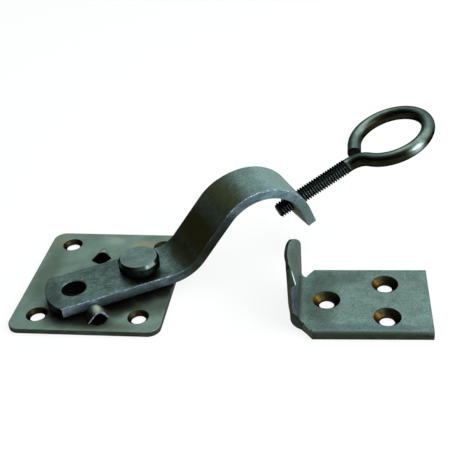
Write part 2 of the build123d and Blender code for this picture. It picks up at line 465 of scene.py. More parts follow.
@dataclass(frozen=True)
class SteelFinish:
    """An uncoated steel surface: blotches, streaks or turned rings, bright specks, dark pits and a fine
    relief.

    Lengths are in millimetres. The streaks' three lengths lie along the axes of the piece's frame, and
    rings, at their spacing, go round its Z axis in the streaks' stead. The film colour is painted
    shade that the piece's own attribute lays over its sides, and the rim tint holds back the mirror of steel
    seen at a slant.
    """

    name: str
    body: str
    shade: str
    speck: str
    roughness: float
    frame: Matrix = field(default_factory=Matrix)
    metallic: float = 1.0
    blotch: float = 7.0
    blotch_share: float = 0.6
    streak: Place = (6.0, 0.5, 0.5)
    streak_share: float = 0.25
    speck_size: float = 0.8
    speck_share: float = 0.3
    speck_cut: float = 0.6
    speck_edge: float = 0.12
    pit_share: float = 0.0
    gloss_spread: tuple[float, float] = (-0.05, 0.07)
    rings: float = 0.0
    relief: float = 0.03
    stains: tuple[Stain, ...] = ()
    film: str = ""
    rim_tint: str = "#6f7876"
    specular: float = 0.5

    def material(self) -> bpy.types.Material:
        """Builds the finish as a node material.

        Returns:
            The new material.
        """
        material = bpy.data.materials.new(self.name)
        material.use_nodes = True
        tree = material.node_tree
        tree.nodes.clear()
        coordinates = add_node(tree, "TexCoord")
        turn = self.frame.to_euler()
        local = add_node(
            tree,
            "Mapping",
            {"Vector": coordinates.outputs["Object"], "Location": self.frame.translation, "Rotation": turn},
            vector_type="TEXTURE",
        ).outputs[0]
        blotch_scale = 1 / (self.blotch * MM)
        blotches = add_node(
            tree, "TexNoise", {"Vector": local, "Scale": blotch_scale, "Detail": 5.0, "Roughness": 0.62}
        )
        blotch_mask = add_node(
            tree, "MapRange", {"Value": blotches.outputs["Fac"], "From Min": 0.38, "From Max": 0.62}
        )
        blotch_share = add_node(
            tree, "Math", {0: blotch_mask.outputs[0], 1: self.blotch_share}, operation="MULTIPLY"
        )
        colour = add_node(
            tree,
            "Mix",
            {"Factor": blotch_share.outputs[0], "A": linear(self.body), "B": linear(self.shade)},
            data_type="RGBA",
        )
        if self.rings:
            ring_scale = pi / 10 / (self.rings * MM)
            streaks = add_node(
                tree,
                "TexWave",
                {"Vector": local, "Scale": ring_scale, "Distortion": 0.8, "Detail": 2.0, "Detail Scale": 2.0},
                wave_type="RINGS",
                rings_direction="Z",
            )
        else:
            streak_scale = Vector([1 / (length * MM) for length in self.streak])
            drawn = add_node(tree, "Mapping", {"Vector": local, "Scale": streak_scale})
            streaks = add_node(
                tree, "TexNoise", {"Vector": drawn.outputs[0], "Scale": 1.0, "Detail": 3.0, "Roughness": 0.6}
            )
        streak_gain = add_node(
            tree,
            "MapRange",
            {
                "Value": streaks.outputs["Fac"],
                "From Min": 0.3,
                "From Max": 0.7,
                "To Min": 1 - self.streak_share,
                "To Max": 1 + self.streak_share,
            },
        )
        streaked = add_node(
            tree,
            "VectorMath",
            {0: colour.outputs["Result"], "Scale": streak_gain.outputs[0]},
            operation="SCALE",
        )
        grain_scale = 1 / (self.speck_size * MM)
        grains = add_node(
            tree, "TexNoise", {"Vector": local, "Scale": grain_scale, "Detail": 2.0, "Roughness": 0.7}
        )
        pit_gain = add_node(
            tree,
            "MapRange",
            {
                "Value": grains.outputs["Fac"],
                "From Min": 0.32,
                "From Max": 0.48,
                "To Min": 1 - self.pit_share,
                "To Max": 1.0,
            },
        )
        speck_mask = add_node(
            tree,
            "MapRange",
            {
                "Value": grains.outputs["Fac"],
                "From Min": self.speck_cut,
                "From Max": self.speck_cut + self.speck_edge,
                "To Max": self.speck_share,
            },
        )
        specked = add_node(
            tree,
            "Mix",
            {"Factor": speck_mask.outputs[0], "A": streaked.outputs["Vector"], "B": linear(self.speck)},
            data_type="RGBA",
        )
        shown = specked.outputs["Result"]
        for stain in self.stains:
            shown = self._stained(tree, local, shown, stain)
        pitted = add_node(tree, "VectorMath", {0: shown, "Scale": pit_gain.outputs[0]}, operation="SCALE")
        shown = pitted.outputs["Vector"]
        # Painted shade, laid over the piece by its own point attribute.
        if self.film:
            cover = add_node(tree, "Attribute", attribute_name=FILM)
            oiled = add_node(
                tree,
                "Mix",
                {"Factor": cover.outputs["Fac"], "A": shown, "B": linear(self.film)},
                data_type="RGBA",
            )
            shown = oiled.outputs["Result"]
        gloss = add_node(
            tree,
            "MapRange",
            {
                "Value": blotches.outputs["Fac"],
                "From Min": 0.3,
                "From Max": 0.7,
                "To Min": self.roughness + self.gloss_spread[0],
                "To Max": self.roughness + self.gloss_spread[1],
            },
        )
        relief_sum = add_node(
            tree, "Math", {0: grains.outputs["Fac"], 1: streaks.outputs["Fac"]}, operation="ADD"
        )
        bump = add_node(
            tree, "Bump", {"Height": relief_sum.outputs[0], "Strength": 1.0, "Distance": self.relief * MM}
        )
        surface = add_node(
            tree,
            "BsdfPrincipled",
            {
                "Base Color": shown,
                "Roughness": gloss.outputs[0],
                "Normal": bump.outputs[0],
                "Metallic": self.metallic,
                "Specular Tint": linear(self.rim_tint),
                "Specular IOR Level": self.specular,
            },
        )
        add_node(tree, "OutputMaterial", {"Surface": surface.outputs[0]})
        return material

    def _stained(
        self,
        tree: bpy.types.NodeTree,
        local: bpy.types.NodeSocket,
        colour: bpy.types.NodeSocket,
        stain: Stain,
    ) -> bpy.types.NodeSocket:
        """Adds one stain over a colour.

        Args:
            tree: The material's node tree.
            local: The place in the piece's frame.
            colour: The colour under the stain.
            stain: The stain.

        Returns:
            The stained colour.
        """
        reach = Vector(stain.reach) * MM
        near = add_node(
            tree,
            "Mapping",
            {"Vector": local, "Location": Vector(stain.centre) * MM, "Scale": reach},
            vector_type="TEXTURE",
        )
        distance = add_node(tree, "VectorMath", {0: near.outputs[0]}, operation="LENGTH")
        ragged_scale = 1 / (0.4 * min(reach))
        ragged = add_node(
            tree, "TexNoise", {"Vector": local, "Scale": ragged_scale, "Detail": 4.0, "Roughness": 0.65}
        )
        wander = add_node(
            tree,
            "Math",
            {0: ragged.outputs["Fac"], 1: stain.ragged, 2: distance.outputs["Value"]},
            operation="MULTIPLY_ADD",
        )
        mask = add_node(
            tree,
            "MapRange",
            {
                "Value": wander.outputs[0],
                "From Min": 0.3 + stain.ragged / 2,
                "From Max": 1.0 + stain.ragged / 2,
                "To Min": stain.strength,
                "To Max": 0.0,
            },
            interpolation_type="SMOOTHSTEP",
        )
        mixed = add_node(
            tree,
            "Mix",
            {"Factor": mask.outputs[0], "A": colour, "B": linear(stain.colour)},
            data_type="RGBA",
        )
        return mixed.outputs["Result"]


@dataclass
class BasePlate:
    """The square plate, with four countersunk holes and the two nibs that stop the arm. Millimetres."""

    length: float = 69.0
    width: float = 74.3
    thickness: float = 2.6
    corner_radius: float = 5.5
    edge_radius: float = 0.45
    hole_spacing: tuple[float, float] = (46.5, 53.9)
    hole_radius: float = 3.3
    sink_radius: float = 4.7
    stud_x: float = 18.6
    tenon_radius: float = 4.55
    tenon_flare: float = 1.2
    nib_mouth: float = 10.0
    nib_ridge: float = 2.8
    nib_shift: float = 1.0
    nib_height: float = 4.4
    nib_length: float = 11.0
    nib_wall: float = 0.8
    nib_root: float = 0.8
    gap_reach: float = 3.4
    gap_width: float = 3.0
    gap_margin: float = 0.4
    gap_start: float = 0.02
    # A web left in each nib's hollow and gap, painted black as shade, and how far past the nib it is painted.
    grease_bottom: float = 0.6
    grease_top: float = 1.1
    grease_room: float = 8.0
    # Each nib's X and Y, its turn in degrees and the length of its level ridge.
    nib_places: tuple[tuple[float, float, float, float], ...] = (
        (6.114, -30.029, 30.8, 6.3),
        (-5.194, 14.9, 13.0, 0.0),
    )

    def build(self) -> bpy.types.Object:
        """Models the plate and dresses it.

        Returns:
            The plate.
        """
        plate = self._blank()
        for x in (-0.5, 0.5):
            for y in (-0.5, 0.5):
                spot = place((x * self.hole_spacing[0], y * self.hole_spacing[1], 0))
                carve(plate, countersink(self.hole_radius, self.sink_radius, self.thickness), spot)
        carve(plate, self._stud_seat(), place((self.stud_x, 0, 0)))
        below = -self.thickness - OVERCUT
        for x, y, turn, level in self.nib_places:
            spot = place((x, y, 0), (0, 0, turn))
            carve(plate, self._nib(level, 0.0, -self.nib_root), spot, "UNION")
            # Each hollow and gap is cut in two, leaving a thin web that is painted black as shade.
            carve(plate, self._nib(level, self.nib_wall, self.grease_top - self.thickness), spot)
            carve(plate, self._nib(level, self.nib_wall, below, self.grease_bottom - self.thickness), spot)
            carve(plate, self._gap(self.grease_top, self.thickness + OVERCUT), spot)
            carve(plate, self._gap(-OVERCUT, self.grease_bottom), spot)
        self._mark_faces(plate)
        return settle(plate, Matrix(), Body.FIXED, ["base_plate"], self.finishes())

    def _blank(self) -> bpy.types.Object:
        """Models the flat plate with its round corners and softened edges.

        Returns:
            The plate without its holes and nibs.
        """
        bpy.ops.object.select_all(action="DESELECT")
        bpy.ops.mesh.primitive_cube_add(size=1, location=(0, 0, 0))
        plate = bpy.context.object
        plate.name = "stamped_base_plate"
        for vertex in plate.data.vertices:
            x, y, z = vertex.co
            vertex.co = (x * self.length * MM, y * self.width * MM, (z + 0.5) * self.thickness * MM)
        middle = self.thickness / 2 * MM
        round_edges(plate, self.corner_radius, 8, lambda a, b: abs(a.co.z - b.co.z) > middle)
        round_edges(plate, self.edge_radius, 3, lambda a, b: min(a.co.z, b.co.z) > middle)
        return plate

    def _stud_seat(self) -> bpy.types.Object:
        """Makes the cutter of the stud's hole, which is flared below for the riveted end.

        Returns:
            The cutter.
        """
        flare = self.tenon_radius + self.tenon_flare
        top = self.thickness + OVERCUT
        profile = [
            (0, -OVERCUT),
            (flare, -OVERCUT),
            (flare, 0),
            (self.tenon_radius, self.tenon_flare),
            (self.tenon_radius, top),
            (0, top),
        ]
        return lathe("stud_seat", profile)

    def _nib(self, level: float, inset: float, bottom: float, ceiling: float = inf) -> bpy.types.Object:
        """Models one nib, or a part of its hollow, with its mouth on Y zero.

        Args:
            level: How far its ridge runs level along +Y, or zero where it falls to a point.
            inset: How far the hollow lies inside the nib's skin, zero for the nib itself.
            bottom: The lowest height, from the plate's top.
            ceiling: The greatest height, from the plate's top.

        Returns:
            A solid whose ridge is rounded.
        """
        flank = atan(self.nib_height / (self.nib_mouth / 2 - self.nib_ridge / 2))
        peak = self.nib_mouth / 2 * tan(flank)
        radius = (peak - self.nib_height) / (1 / cos(flank) - 1)
        middle = self.nib_height - radius
        radius -= inset
        foot = (radius - (bottom - middle) * cos(flank)) / sin(flank)
        bends = 8
        turns = [flank * (2 * i / bends - 1) for i in range(bends + 1)]
        crown = [(radius * sin(turn), middle + radius * cos(turn)) for turn in turns]
        section = [(-foot, bottom), *crown, (foot, bottom)]
        heights = [self.thickness + min(z, ceiling) for _, z in section]
        shifts = [self.nib_shift * z / self.nib_height for _, z in section]
        front = -OVERCUT if inset else 0.0
        mouth = [(x + shift, front, z) for (x, _), shift, z in zip(section, shifts, heights)]
        if level:
            tail = [(x, level - inset, z) for (x, _), z in zip(section, heights)]
        else:
            length = self.nib_length / self.nib_height * (middle + radius - bottom)
            tail = [(self.nib_shift, length, self.thickness + bottom)] * len(mouth)
        return prism(mouth, tail)

    def _gap(self, bottom: float, top: float) -> bpy.types.Object:
        """Makes the cutter of the gap that the punch left in the plate before a nib's mouth.

        Args:
            bottom: The cutter's lower end.
            top: Its upper end.

        Returns:
            The cutter, with the mouth on Y zero.
        """
        half = self.nib_mouth / 2 - self.gap_margin
        tip = self.gap_width / 2
        start, end = -self.gap_start, -self.gap_reach
        outline = [(-half, start), (-tip, end), (tip, end), (half, start)]
        return prism([(x, y, bottom) for x, y in outline], [(x, y, top) for x, y in outline])

    def _in_hole(self, centre: Vector, normal: Vector) -> bool:
        """Whether a face lies in a screw hole."""
        away = hypot(*(abs(at) - spacing / 2 for at, spacing in zip(centre, self.hole_spacing)))
        return away < self.sink_radius + 2 * NEAR and abs(normal.z) < 0.9

    def _by_nib(self, spot: Vector) -> bool:
        """Whether a place in a nib's frame lies in the nib or in the gap before it."""
        end = self.nib_length + self.grease_room
        return abs(spot.x) < self.nib_mouth and -self.gap_reach - 0.3 < spot.y < end

    def _mark_faces(self, plate: bpy.types.Object) -> None:
        """Marks the sheared sides, the countersinks and the nibs' torn mouths and hollows for finishes of
        their own.

        The hollows are painted black as shade.

        Args:
            plate: The finished mesh object.
        """
        half = (self.length / 2 - self.corner_radius, self.width / 2 - self.corner_radius)
        paint(plate, PlateFace.SIDE, lambda c, n: (abs(c.x) > half[0] or abs(c.y) > half[1]) and n.z < 0.45)
        paint(plate, PlateFace.BORE, self._in_hole)
        for x, y, turn, level in self.nib_places:
            to_nib = place((x, y, 0), (0, 0, turn)).inverted()
            facing = Vector((sin(radians(turn)), -cos(radians(turn)), 0))

            def torn(centre: Vector, normal: Vector) -> bool:
                """Whether a face is the nib's torn rim."""
                spot = to_nib @ (centre * MM) / MM
                return abs(spot.x) < self.nib_mouth / 2 and abs(spot.y) < 0.3 and normal.dot(facing) > 0.8

            def inside(centre: Vector, normal: Vector) -> bool:
                """Whether a face is a wall of the nib's hollow or of the gap before it."""
                walled = normal.z < -0.1 or centre.z < self.thickness - 0.4
                return walled and centre.z > NEAR and self._by_nib(to_nib @ (centre * MM) / MM)

            # The near nib's rim gets a painted highlight; the far nib's takes the dark bore finish.
            paint(plate, PlateFace.RIM if level else PlateFace.BORE, torn)
            # The nibs' hollows and the gaps before them are painted black as shade.
            paint(plate, PlateFace.HOLLOW, inside, among=PlateFace.SHEET)

    def finishes(self) -> list[bpy.types.Material]:
        """Makes the plate's steels.

        Returns:
            The materials in the order of PlateFace.
        """
        face = SteelFinish(
            # Satin cold-rolled sheet, pickled: a flat greenish grey, with yellowed oil left in patches,
            # painted shadows of the arm and painted highlights on the nibs' ridges.
            "pickled_sheet_steel",
            body="#748b7f",
            shade="#5b6c60",
            speck="#93a99d",
            roughness=0.46,
            metallic=0.6,
            blotch=14.0,
            streak=(5.0, 4.0, 4.0),
            streak_share=0.07,
            speck_share=0.2,
            relief=0.012,
            stains=(
                Stain((13, 27, 2.6), (10, 7, 6), "#9a8f6a", 0.55),
                Stain((27, 24, 2.6), (6, 8, 6), "#8d8262", 0.5),
                Stain((-2, 31, 2.6), (7, 5, 6), "#9aa79a", 0.5),
                Stain((2, -34, 2.6), (32, 4.5, 6), "#4a4733", 0.6),
                Stain((-30, 30, 2.6), (8, 8, 6), "#8b8061", 0.3),
                Stain((-28, 4, 2.6), (7, 28, 6), "#4f5c4b", 0.6),
                # Painted shadow of the arm: under and round its tail and its hole, and along its near side.
                Stain((29, -16, 2.6), (13, 15, 6), "#33392b", 0.75),
                Stain((-6, -21, 2.6), (22, 13, 6), "#2a2717", 0.8),
                Stain((-11, -20, 2.6), (14, 15, 6), "#0c0b07", 0.97),
                Stain((-10, -7, 2.6), (12, 11, 6), "#0b0b08", 0.97),
                Stain((4, -19, 2.6), (9, 8, 6), "#0f0e09", 0.95),
                Stain((13, -13.5, 2.6), (9, 8, 6), "#0f0e09", 0.95),
                Stain((22, -8, 2.6), (9, 8, 6), "#0f0e09", 0.95),
                Stain((31, -3, 2.6), (9, 7, 6), "#12110b", 0.9),
                Stain((-8, -27, 2.6), (19, 10, 6), "#12110a", 0.92, 0.2),
                Stain((3, -30.5, 2.6), (14, 7.5, 6), "#12110a", 0.95, 0.2),
                Stain((12, -24, 2.6), (8, 6, 6), "#24240f", 0.92, 0.2),
                Stain((18.5, -20.5, 2.6), (9, 5.5, 6), "#2f3019", 0.85, 0.2),
                Stain((10, -20, 2.6), (7, 6, 6), "#0c0b07", 0.97, 0.15),
                Stain((14.5, -18.5, 2.6), (9, 7, 6), "#0f0e09", 0.95, 0.15),
                Stain((22, -13.5, 2.6), (9, 7, 6), "#0f0e09", 0.95, 0.15),
                Stain((30, -9, 2.6), (8, 7, 6), "#12110b", 0.9, 0.15),
                # Painted shade on the near nib's left flank, then painted highlights on the two nibs' ridges.
                Stain((1.8, -29.1, 4.2), (3.2, 3.4, 2.2), "#1c1b12", 0.85),
                Stain((4.9, -27.6, 7.4), (3.0, 5.2, 2.2), "#a9ab94", 0.85),
                Stain((-4.6, 18.6, 7.2), (3.4, 5, 2.6), "#a9b0a0", 0.75),
            ),
        )
        bore = SteelFinish(
            # Drilled wall with brown cutting oil burnt on: dark, with a warm glint.
            "drilled_sheet_steel",
            body="#302b1a",
            shade="#14120b",
            speck="#5f563c",
            roughness=0.38,
            blotch=3.0,
        )
        rim = SteelFinish(
            # Metal torn open by the punch: painted bright and bluish as a highlight.
            "torn_sheet_edge",
            body="#a5b6cf",
            shade="#4c5a72",
            speck="#e6effa",
            roughness=0.35,
            metallic=0.2,
            blotch=1.3,
            blotch_share=0.9,
            speck_share=0.5,
        )
        hollow = SteelFinish(
            # The nib's hollow and the gap before it, closed by a web: painted shade, near black.
            "punched_hollow",
            body="#0b0b09",
            shade="#050505",
            speck="#171713",
            roughness=0.8,
            metallic=0.0,
            specular=0.05,
        )
        side = SteelFinish(
            # Sheared sides, browned by oil: darker than the face, with a dull sheen.
            "sheared_sheet_side",
            body="#363f38",
            shade="#26281d",
            speck="#48524b",
            roughness=0.5,
            metallic=0.5,
            blotch=6.0,
            rim_tint="#2c302d",
            streak=(4.0, 4.0, 0.7),
        )
        return [finish.material() for finish in (face, bore, rim, hollow, side)]


@dataclass
class PivotStud:
    """The turned stud that carries the arm, and the washers under and over it. Millimetres."""

    x: float = 18.6
    plate_top: float = 2.6
    journal_radius: float = 6.0
    tenon_radius: float = 4.5
    tenon_flare: float = 1.2
    head_radius: float = 9.5
    head_bottom: float = 10.66
    head_height: float = 5.5
    chamfer: tuple[float, float] = (1.0, 1.5)
    foot_chamfer: float = 0.35
    shoulder_break: tuple[float, float] = (0.08, 0.06)
    end_break: tuple[float, float] = (0.1, 0.12)
    facets: int = 96
    ring_pitch: float = 0.85
    ring_share: float = 0.28
    ring_depth: float = 0.05
    # Each washer's node, outer radius, lower height and thickness.
    washers: tuple[tuple[str, float, float, float], ...] = (
        ("spacer_washer", 10.5, 2.6, 2.0),
        ("head_washer", 8.25, 9.36, 1.2),
    )
    washer_bore: float = 6.15
    washer_edge: float = 0.3

    def build(self) -> list[bpy.types.Object]:
        """Models the stud and its washers and dresses them.

        Returns:
            The stud, then the washers.
        """
        frame = place((self.x, 0, 0))
        stud = lathe("turned_pivot_stud", self._outline(), self.facets)
        paint(stud, StudFace.CHAMFER, lambda c, n: 0.2 < n.z < 0.9 and c.z > self.head_bottom)
        paint(stud, StudFace.SIDE, lambda c, n: n.z < 0.2)
        pieces = [settle(stud, frame, Body.FIXED, ["pivot_stud"], self.finishes(frame), 20)]
        dull = SteelFinish(
            # Punched washers, black with old oil.
            "oiled_washer_steel",
            body="#2a2c2a",
            shade="#161715",
            speck="#4a4d4a",
            roughness=0.5,
        ).material()
        for node, radius, bottom, thickness in self.washers:
            edge = self.washer_edge
            top = bottom + thickness
            outline = [
                (self.washer_bore, bottom),
                (radius - edge, bottom),
                (radius, bottom + edge),
                (radius, top - edge),
                (radius - edge, top),
                (self.washer_bore, top),
            ]
            washer = lathe("punched_" + node, outline)
            pieces.append(settle(washer, frame, Body.FIXED, [node], [dull]))
        return pieces

    def _outline(self) -> list[tuple[float, float]]:
        """Draws half the stud, with the tool's rings on its head.

        Returns:
            Radius and height of each corner, going round.
        """
        top = self.head_bottom + self.head_height
        shoulder = top - self.chamfer[1]
        flat = self.head_radius - self.chamfer[0]
        inwards, upwards = self.shoulder_break
        aside, down = self.end_break
        rings = []
        count = int(flat / self.ring_pitch)
        reach = self.ring_share * self.ring_pitch
        for ring in range(count, 0, -1):
            radius = flat * ring / (count + 0.5)
            rings += [(radius + reach, top), (radius, top - self.ring_depth), (radius - reach, top)]
        return [
            (0, 0),
            (self.tenon_radius + self.tenon_flare, 0),
            (self.tenon_radius, self.tenon_flare),
            (self.tenon_radius, self.plate_top),
            (self.journal_radius, self.plate_top),
            (self.journal_radius, self.head_bottom),
            (self.head_radius - self.foot_chamfer, self.head_bottom),
            (self.head_radius, self.head_bottom + self.foot_chamfer),
            (self.head_radius, shoulder - 2 * upwards),
            (self.head_radius - inwards, shoulder + upwards),
            (flat + aside, top - down),
            (flat - aside, top),
            *rings,
            (0, top - self.ring_depth),
        ]

    def finishes(self, frame: Matrix) -> list[bpy.types.Material]:
        """Makes the stud's turned steels.

        Args:
            frame: The stud's frame in the latch.

        Returns:
            The materials in the order of StudFace.
        """
        end = SteelFinish(
            # Free-cutting bar, faced: a grey sheen with rings, drawn coarser than they are so that they show.
            "faced_bar_steel",
            body="#687e78",
            shade="#4b5b55",
            speck="#93aaa4",
            roughness=0.36,
            frame=frame,
            metallic=0.7,
            blotch=5.0,
            rings=1.25,
            streak_share=0.11,
            speck_share=0.2,
            pit_share=0.2,
            relief=0.02,
        )
        chamfer = SteelFinish(
            # The chamfer, cut last and clean: it mirrors the lamps, with straw-brown oil between.
            "chamfered_bar_steel",
            body="#4f5d5a",
            shade="#33290f",
            speck="#9fb4b4",
            roughness=0.2,
            frame=frame,
            blotch=5.0,
            relief=0.004,
        )
        side = SteelFinish(
            # The turned side, black with oil.
            "oily_bar_side",
            body="#303a37",
            shade="#141715",
            speck="#4c5a57",
            roughness=0.3,
            frame=frame,
            blotch=6.0,
            streak=(8.0, 8.0, 0.5),
            relief=0.006,
        )
        return [finish.material() for finish in (end, chamfer, side)]


@dataclass
class BentLine:
    """The centre line of a flat bar in its side view: straights and bends, in millimetres and degrees."""

    start: tuple[float, float]
    steps: tuple[tuple[float, float], ...]

    @property
    def length(self) -> float:
        """The whole length along the line."""
        return sum(self._run(step) for step in self.steps)

    def _run(self, step: tuple[float, float]) -> float:
        """The length of one step: a straight's own, or a bend's radius times its angle."""
        size, turn = step
        return size * abs(radians(turn)) if turn else size

    def at(self, run: float) -> tuple[float, float, float]:
        """Finds a point of the line.

        Args:
            run: The distance from the line's start.

        Returns:
            The point's two coordinates and the heading there in radians.
        """
        x, z = self.start
        heading = 0.0
        for step in self.steps:
            size, turn = step
            part = min(run, self._run(step))
            if turn:
                hand = 1 if turn > 0 else -1
                swung = hand * part / size
                x += hand * size * (sin(heading + swung) - sin(heading))
                z -= hand * size * (cos(heading + swung) - cos(heading))
                heading += swung
            else:
                x += part * cos(heading)
                z += part * sin(heading)
            run -= part
            if run <= 0:
                break
        return x, z, heading


def grid(name: str, columns: int, rows: int) -> bpy.types.Object:
    """Adds a flat grid from zero to one along X and from minus one to one along Y.

    Args:
        name: The new object's name.
        columns: Faces along X.
        rows: Faces along Y.

    Returns:
        The grid.
    """
    bpy.ops.object.select_all(action="DESELECT")
    bpy.ops.mesh.primitive_grid_add(x_subdivisions=columns, y_subdivisions=rows, size=1)
    sheet = bpy.context.object
    sheet.name = name
    for vertex in sheet.data.vertices:
        vertex.co = (vertex.co.x + 0.5, 2 * vertex.co.y, 0)
    return sheet


@dataclass
class SwingArm:
    """The flat bar that swings on the stud: round tail, rise, arch and turned-down leg. Millimetres."""

    width: float = 25.4
    thickness: float = 4.76
    middle_height: float = 6.98
    tail_reach: float = 44.1
    tail_radius: float = 21.4
    tail_hole_radius: float = 5.55
    tail_hole_inset: float = 12.7
    flat_reach: float = 11.9
    rise_radius: float = 19.88
    rise_angle: float = 48.5
    rise_length: float = 22.3
    arch_radius: float = 23.98
    leg_angle: float = 69.0
    leg_length: float = 8.9
    bore_radius: float = 6.08
    screw_bore_radius: float = 4.02
    screw_offset: float = 0.7
    edge_radius: float = 0.2
    worn_radius: float = 0.45
    bend_shift: float = -1.2
    bend_skew: float = -1.15
    leg_skew: float = -1.1
    leg_twist_start: float = 52.0
    tail_shear: float = 14.0
    tail_hole_lip: float = 0.35
    tail_black_top: float = 2.0
    screw_bore_lip: float = 0.4
    screw_bore_sunk: tuple[float, float] = (0.3, 0.6)
    screw_reach: float = 8.2
    column_length: float = 1.3
    rows: int = 12
    frame: Matrix = field(default_factory=lambda: place((18.6, 0, 0), (0, 0, 30.8)))

    @property
    def line(self) -> BentLine:
        """The bar's centre line."""
        return BentLine(
            (-self.tail_reach, self.middle_height),
            (
                (self.tail_reach + self.flat_reach, 0),
                (self.rise_radius, self.rise_angle),
                (self.rise_length, 0),
                (self.arch_radius, -self.rise_angle - self.leg_angle),
                (self.leg_length, 0),
            ),
        )

    def screw_frame(self, tip_reach: float) -> Matrix:
        """Finds the ring screw's frame: origin at its tip, +X along it to the ring.

        Args:
            tip_reach: How far the tip stands out under the leg.

        Returns:
            The screw's frame in the latch.
        """
        line = self.line
        x, z, heading = line.at(line.length - self.leg_length + self.screw_offset)
        outward = heading + pi / 2
        back = self.thickness / 2 + tip_reach
        tip = (x - back * cos(outward), 0, z - back * sin(outward))
        return self.frame @ place(tip, (0, -degrees(outward), 0))

    def build(self) -> bpy.types.Object:
        """Models the arm and dresses it.

        Returns:
            The arm.
        """
        line = self.line
        arm = grid("bent_swing_arm", int(line.length / self.column_length), self.rows)
        count = len(arm.data.vertices)
        for vertex in arm.data.vertices:
            vertex.co = [length * MM for length in self._spot(line, vertex.co.x, vertex.co.y)]
        modify(arm, "SOLIDIFY", thickness=self.thickness * MM, offset=0, use_even_offset=True)
        side = (self.width / 2 - NEAR) * MM

        def on_upper_corner(first: bpy.types.MeshVertex, last: bpy.types.MeshVertex) -> bool:
            """Whether an edge runs along the bar's upper skin, on one of its two corners."""
            return max(first.index, last.index) < count and min(abs(first.co.y), abs(last.co.y)) > side

        round_edges(arm, self.worn_radius, 3, on_upper_corner)
        soften(arm, self.edge_radius, 2, 50)
        close_up(arm)
        bottom = self.middle_height - self.thickness / 2
        top = bottom + self.thickness
        tail_hole = place((self.tail_hole_inset - self.tail_reach, 0, 0))
        carve(arm, drill(self.bore_radius, bottom, top), Matrix())
        carve(arm, drill(self.tail_hole_radius, bottom, top, self.tail_hole_lip), tail_hole)
        screw = self.frame.inverted() @ self.screw_frame(0.0) @ place((0, 0, 0), (0, 90, 0))
        inner = self.leg_skew - self.screw_bore_sunk[0]
        outer = self.thickness - self.screw_bore_sunk[1]
        carve(arm, drill(self.screw_bore_radius, inner, outer, self.screw_bore_lip), screw)
        self._mark_faces(arm)
        return settle(arm, self.frame, Body.ARM, ["swing_arm"], self.finishes())

    def _spot(self, line: BentLine, along: float, across: float) -> Place:
        """Finds a point of the bar's middle surface.

        Args:
            line: The bar's centre line.
            along: The place along the bar, from zero to one.
            across: The place across it, from minus one to one.

        Returns:
            The point.
        """
        y = across * self.width / 2
        run = along * line.length
        rounding = self.tail_radius - sqrt(self.tail_radius**2 - y**2)
        run += rounding * max(0.0, 1 - run / self.tail_shear)
        x, z, heading = line.at(run)
        rising = max(0.0, sin(heading)) / sin(radians(self.rise_angle))
        twisted = max(0.0, -degrees(heading) - self.leg_twist_start)
        falling = twisted / (self.leg_angle - self.leg_twist_start)
        x += (self.bend_shift + self.bend_skew * across) * rising
        x += self.leg_skew * (1 + across) * falling
        return x, y, z

    def _mark_faces(self, arm: bpy.types.Object) -> None:
        """Marks the bar's sides, its underside, its near corner, its tail end and its hole for their own
        finishes.

        The near corner carries wear and a painted highlight; the tail end and the hole are painted black as
        shade.

        Args:
            arm: The finished mesh object.
        """
        side = self.width / 2 - NEAR
        worn = self.worn_radius - side
        tail = self.width / 2 - self.tail_reach
        black_top = self.middle_height + self.tail_black_top

        def on_side(centre: Vector, normal: Vector) -> bool:
            """Whether a face is one of the bar's narrow sides."""
            return abs(centre.y) > side and abs(normal.y) > 0.95

        def in_tail_hole(centre: Vector, normal: Vector) -> bool:
            """Whether a face is the tail hole's wall."""
            away = hypot(centre.x - self.tail_hole_inset + self.tail_reach, centre.y)
            return away < self.tail_hole_radius + 2 * NEAR and abs(normal.z) < 0.5

        paint(arm, ArmFace.SIDE, on_side)
        paint(arm, ArmFace.UNDER, lambda c, n: n.z < -0.25 and abs(n.y) < 0.95)
        paint(arm, ArmFace.CORNER, lambda c, n: c.y < worn and -0.98 < n.y < -0.2 and n.z > 0.1)
        # The tail end and the tail hole's wall are painted black as shade.
        paint(arm, ArmFace.BLACK, lambda c, n: n.x < -0.5 and c.x < tail and c.z < black_top)
        paint(arm, ArmFace.BLACK, in_tail_hole)

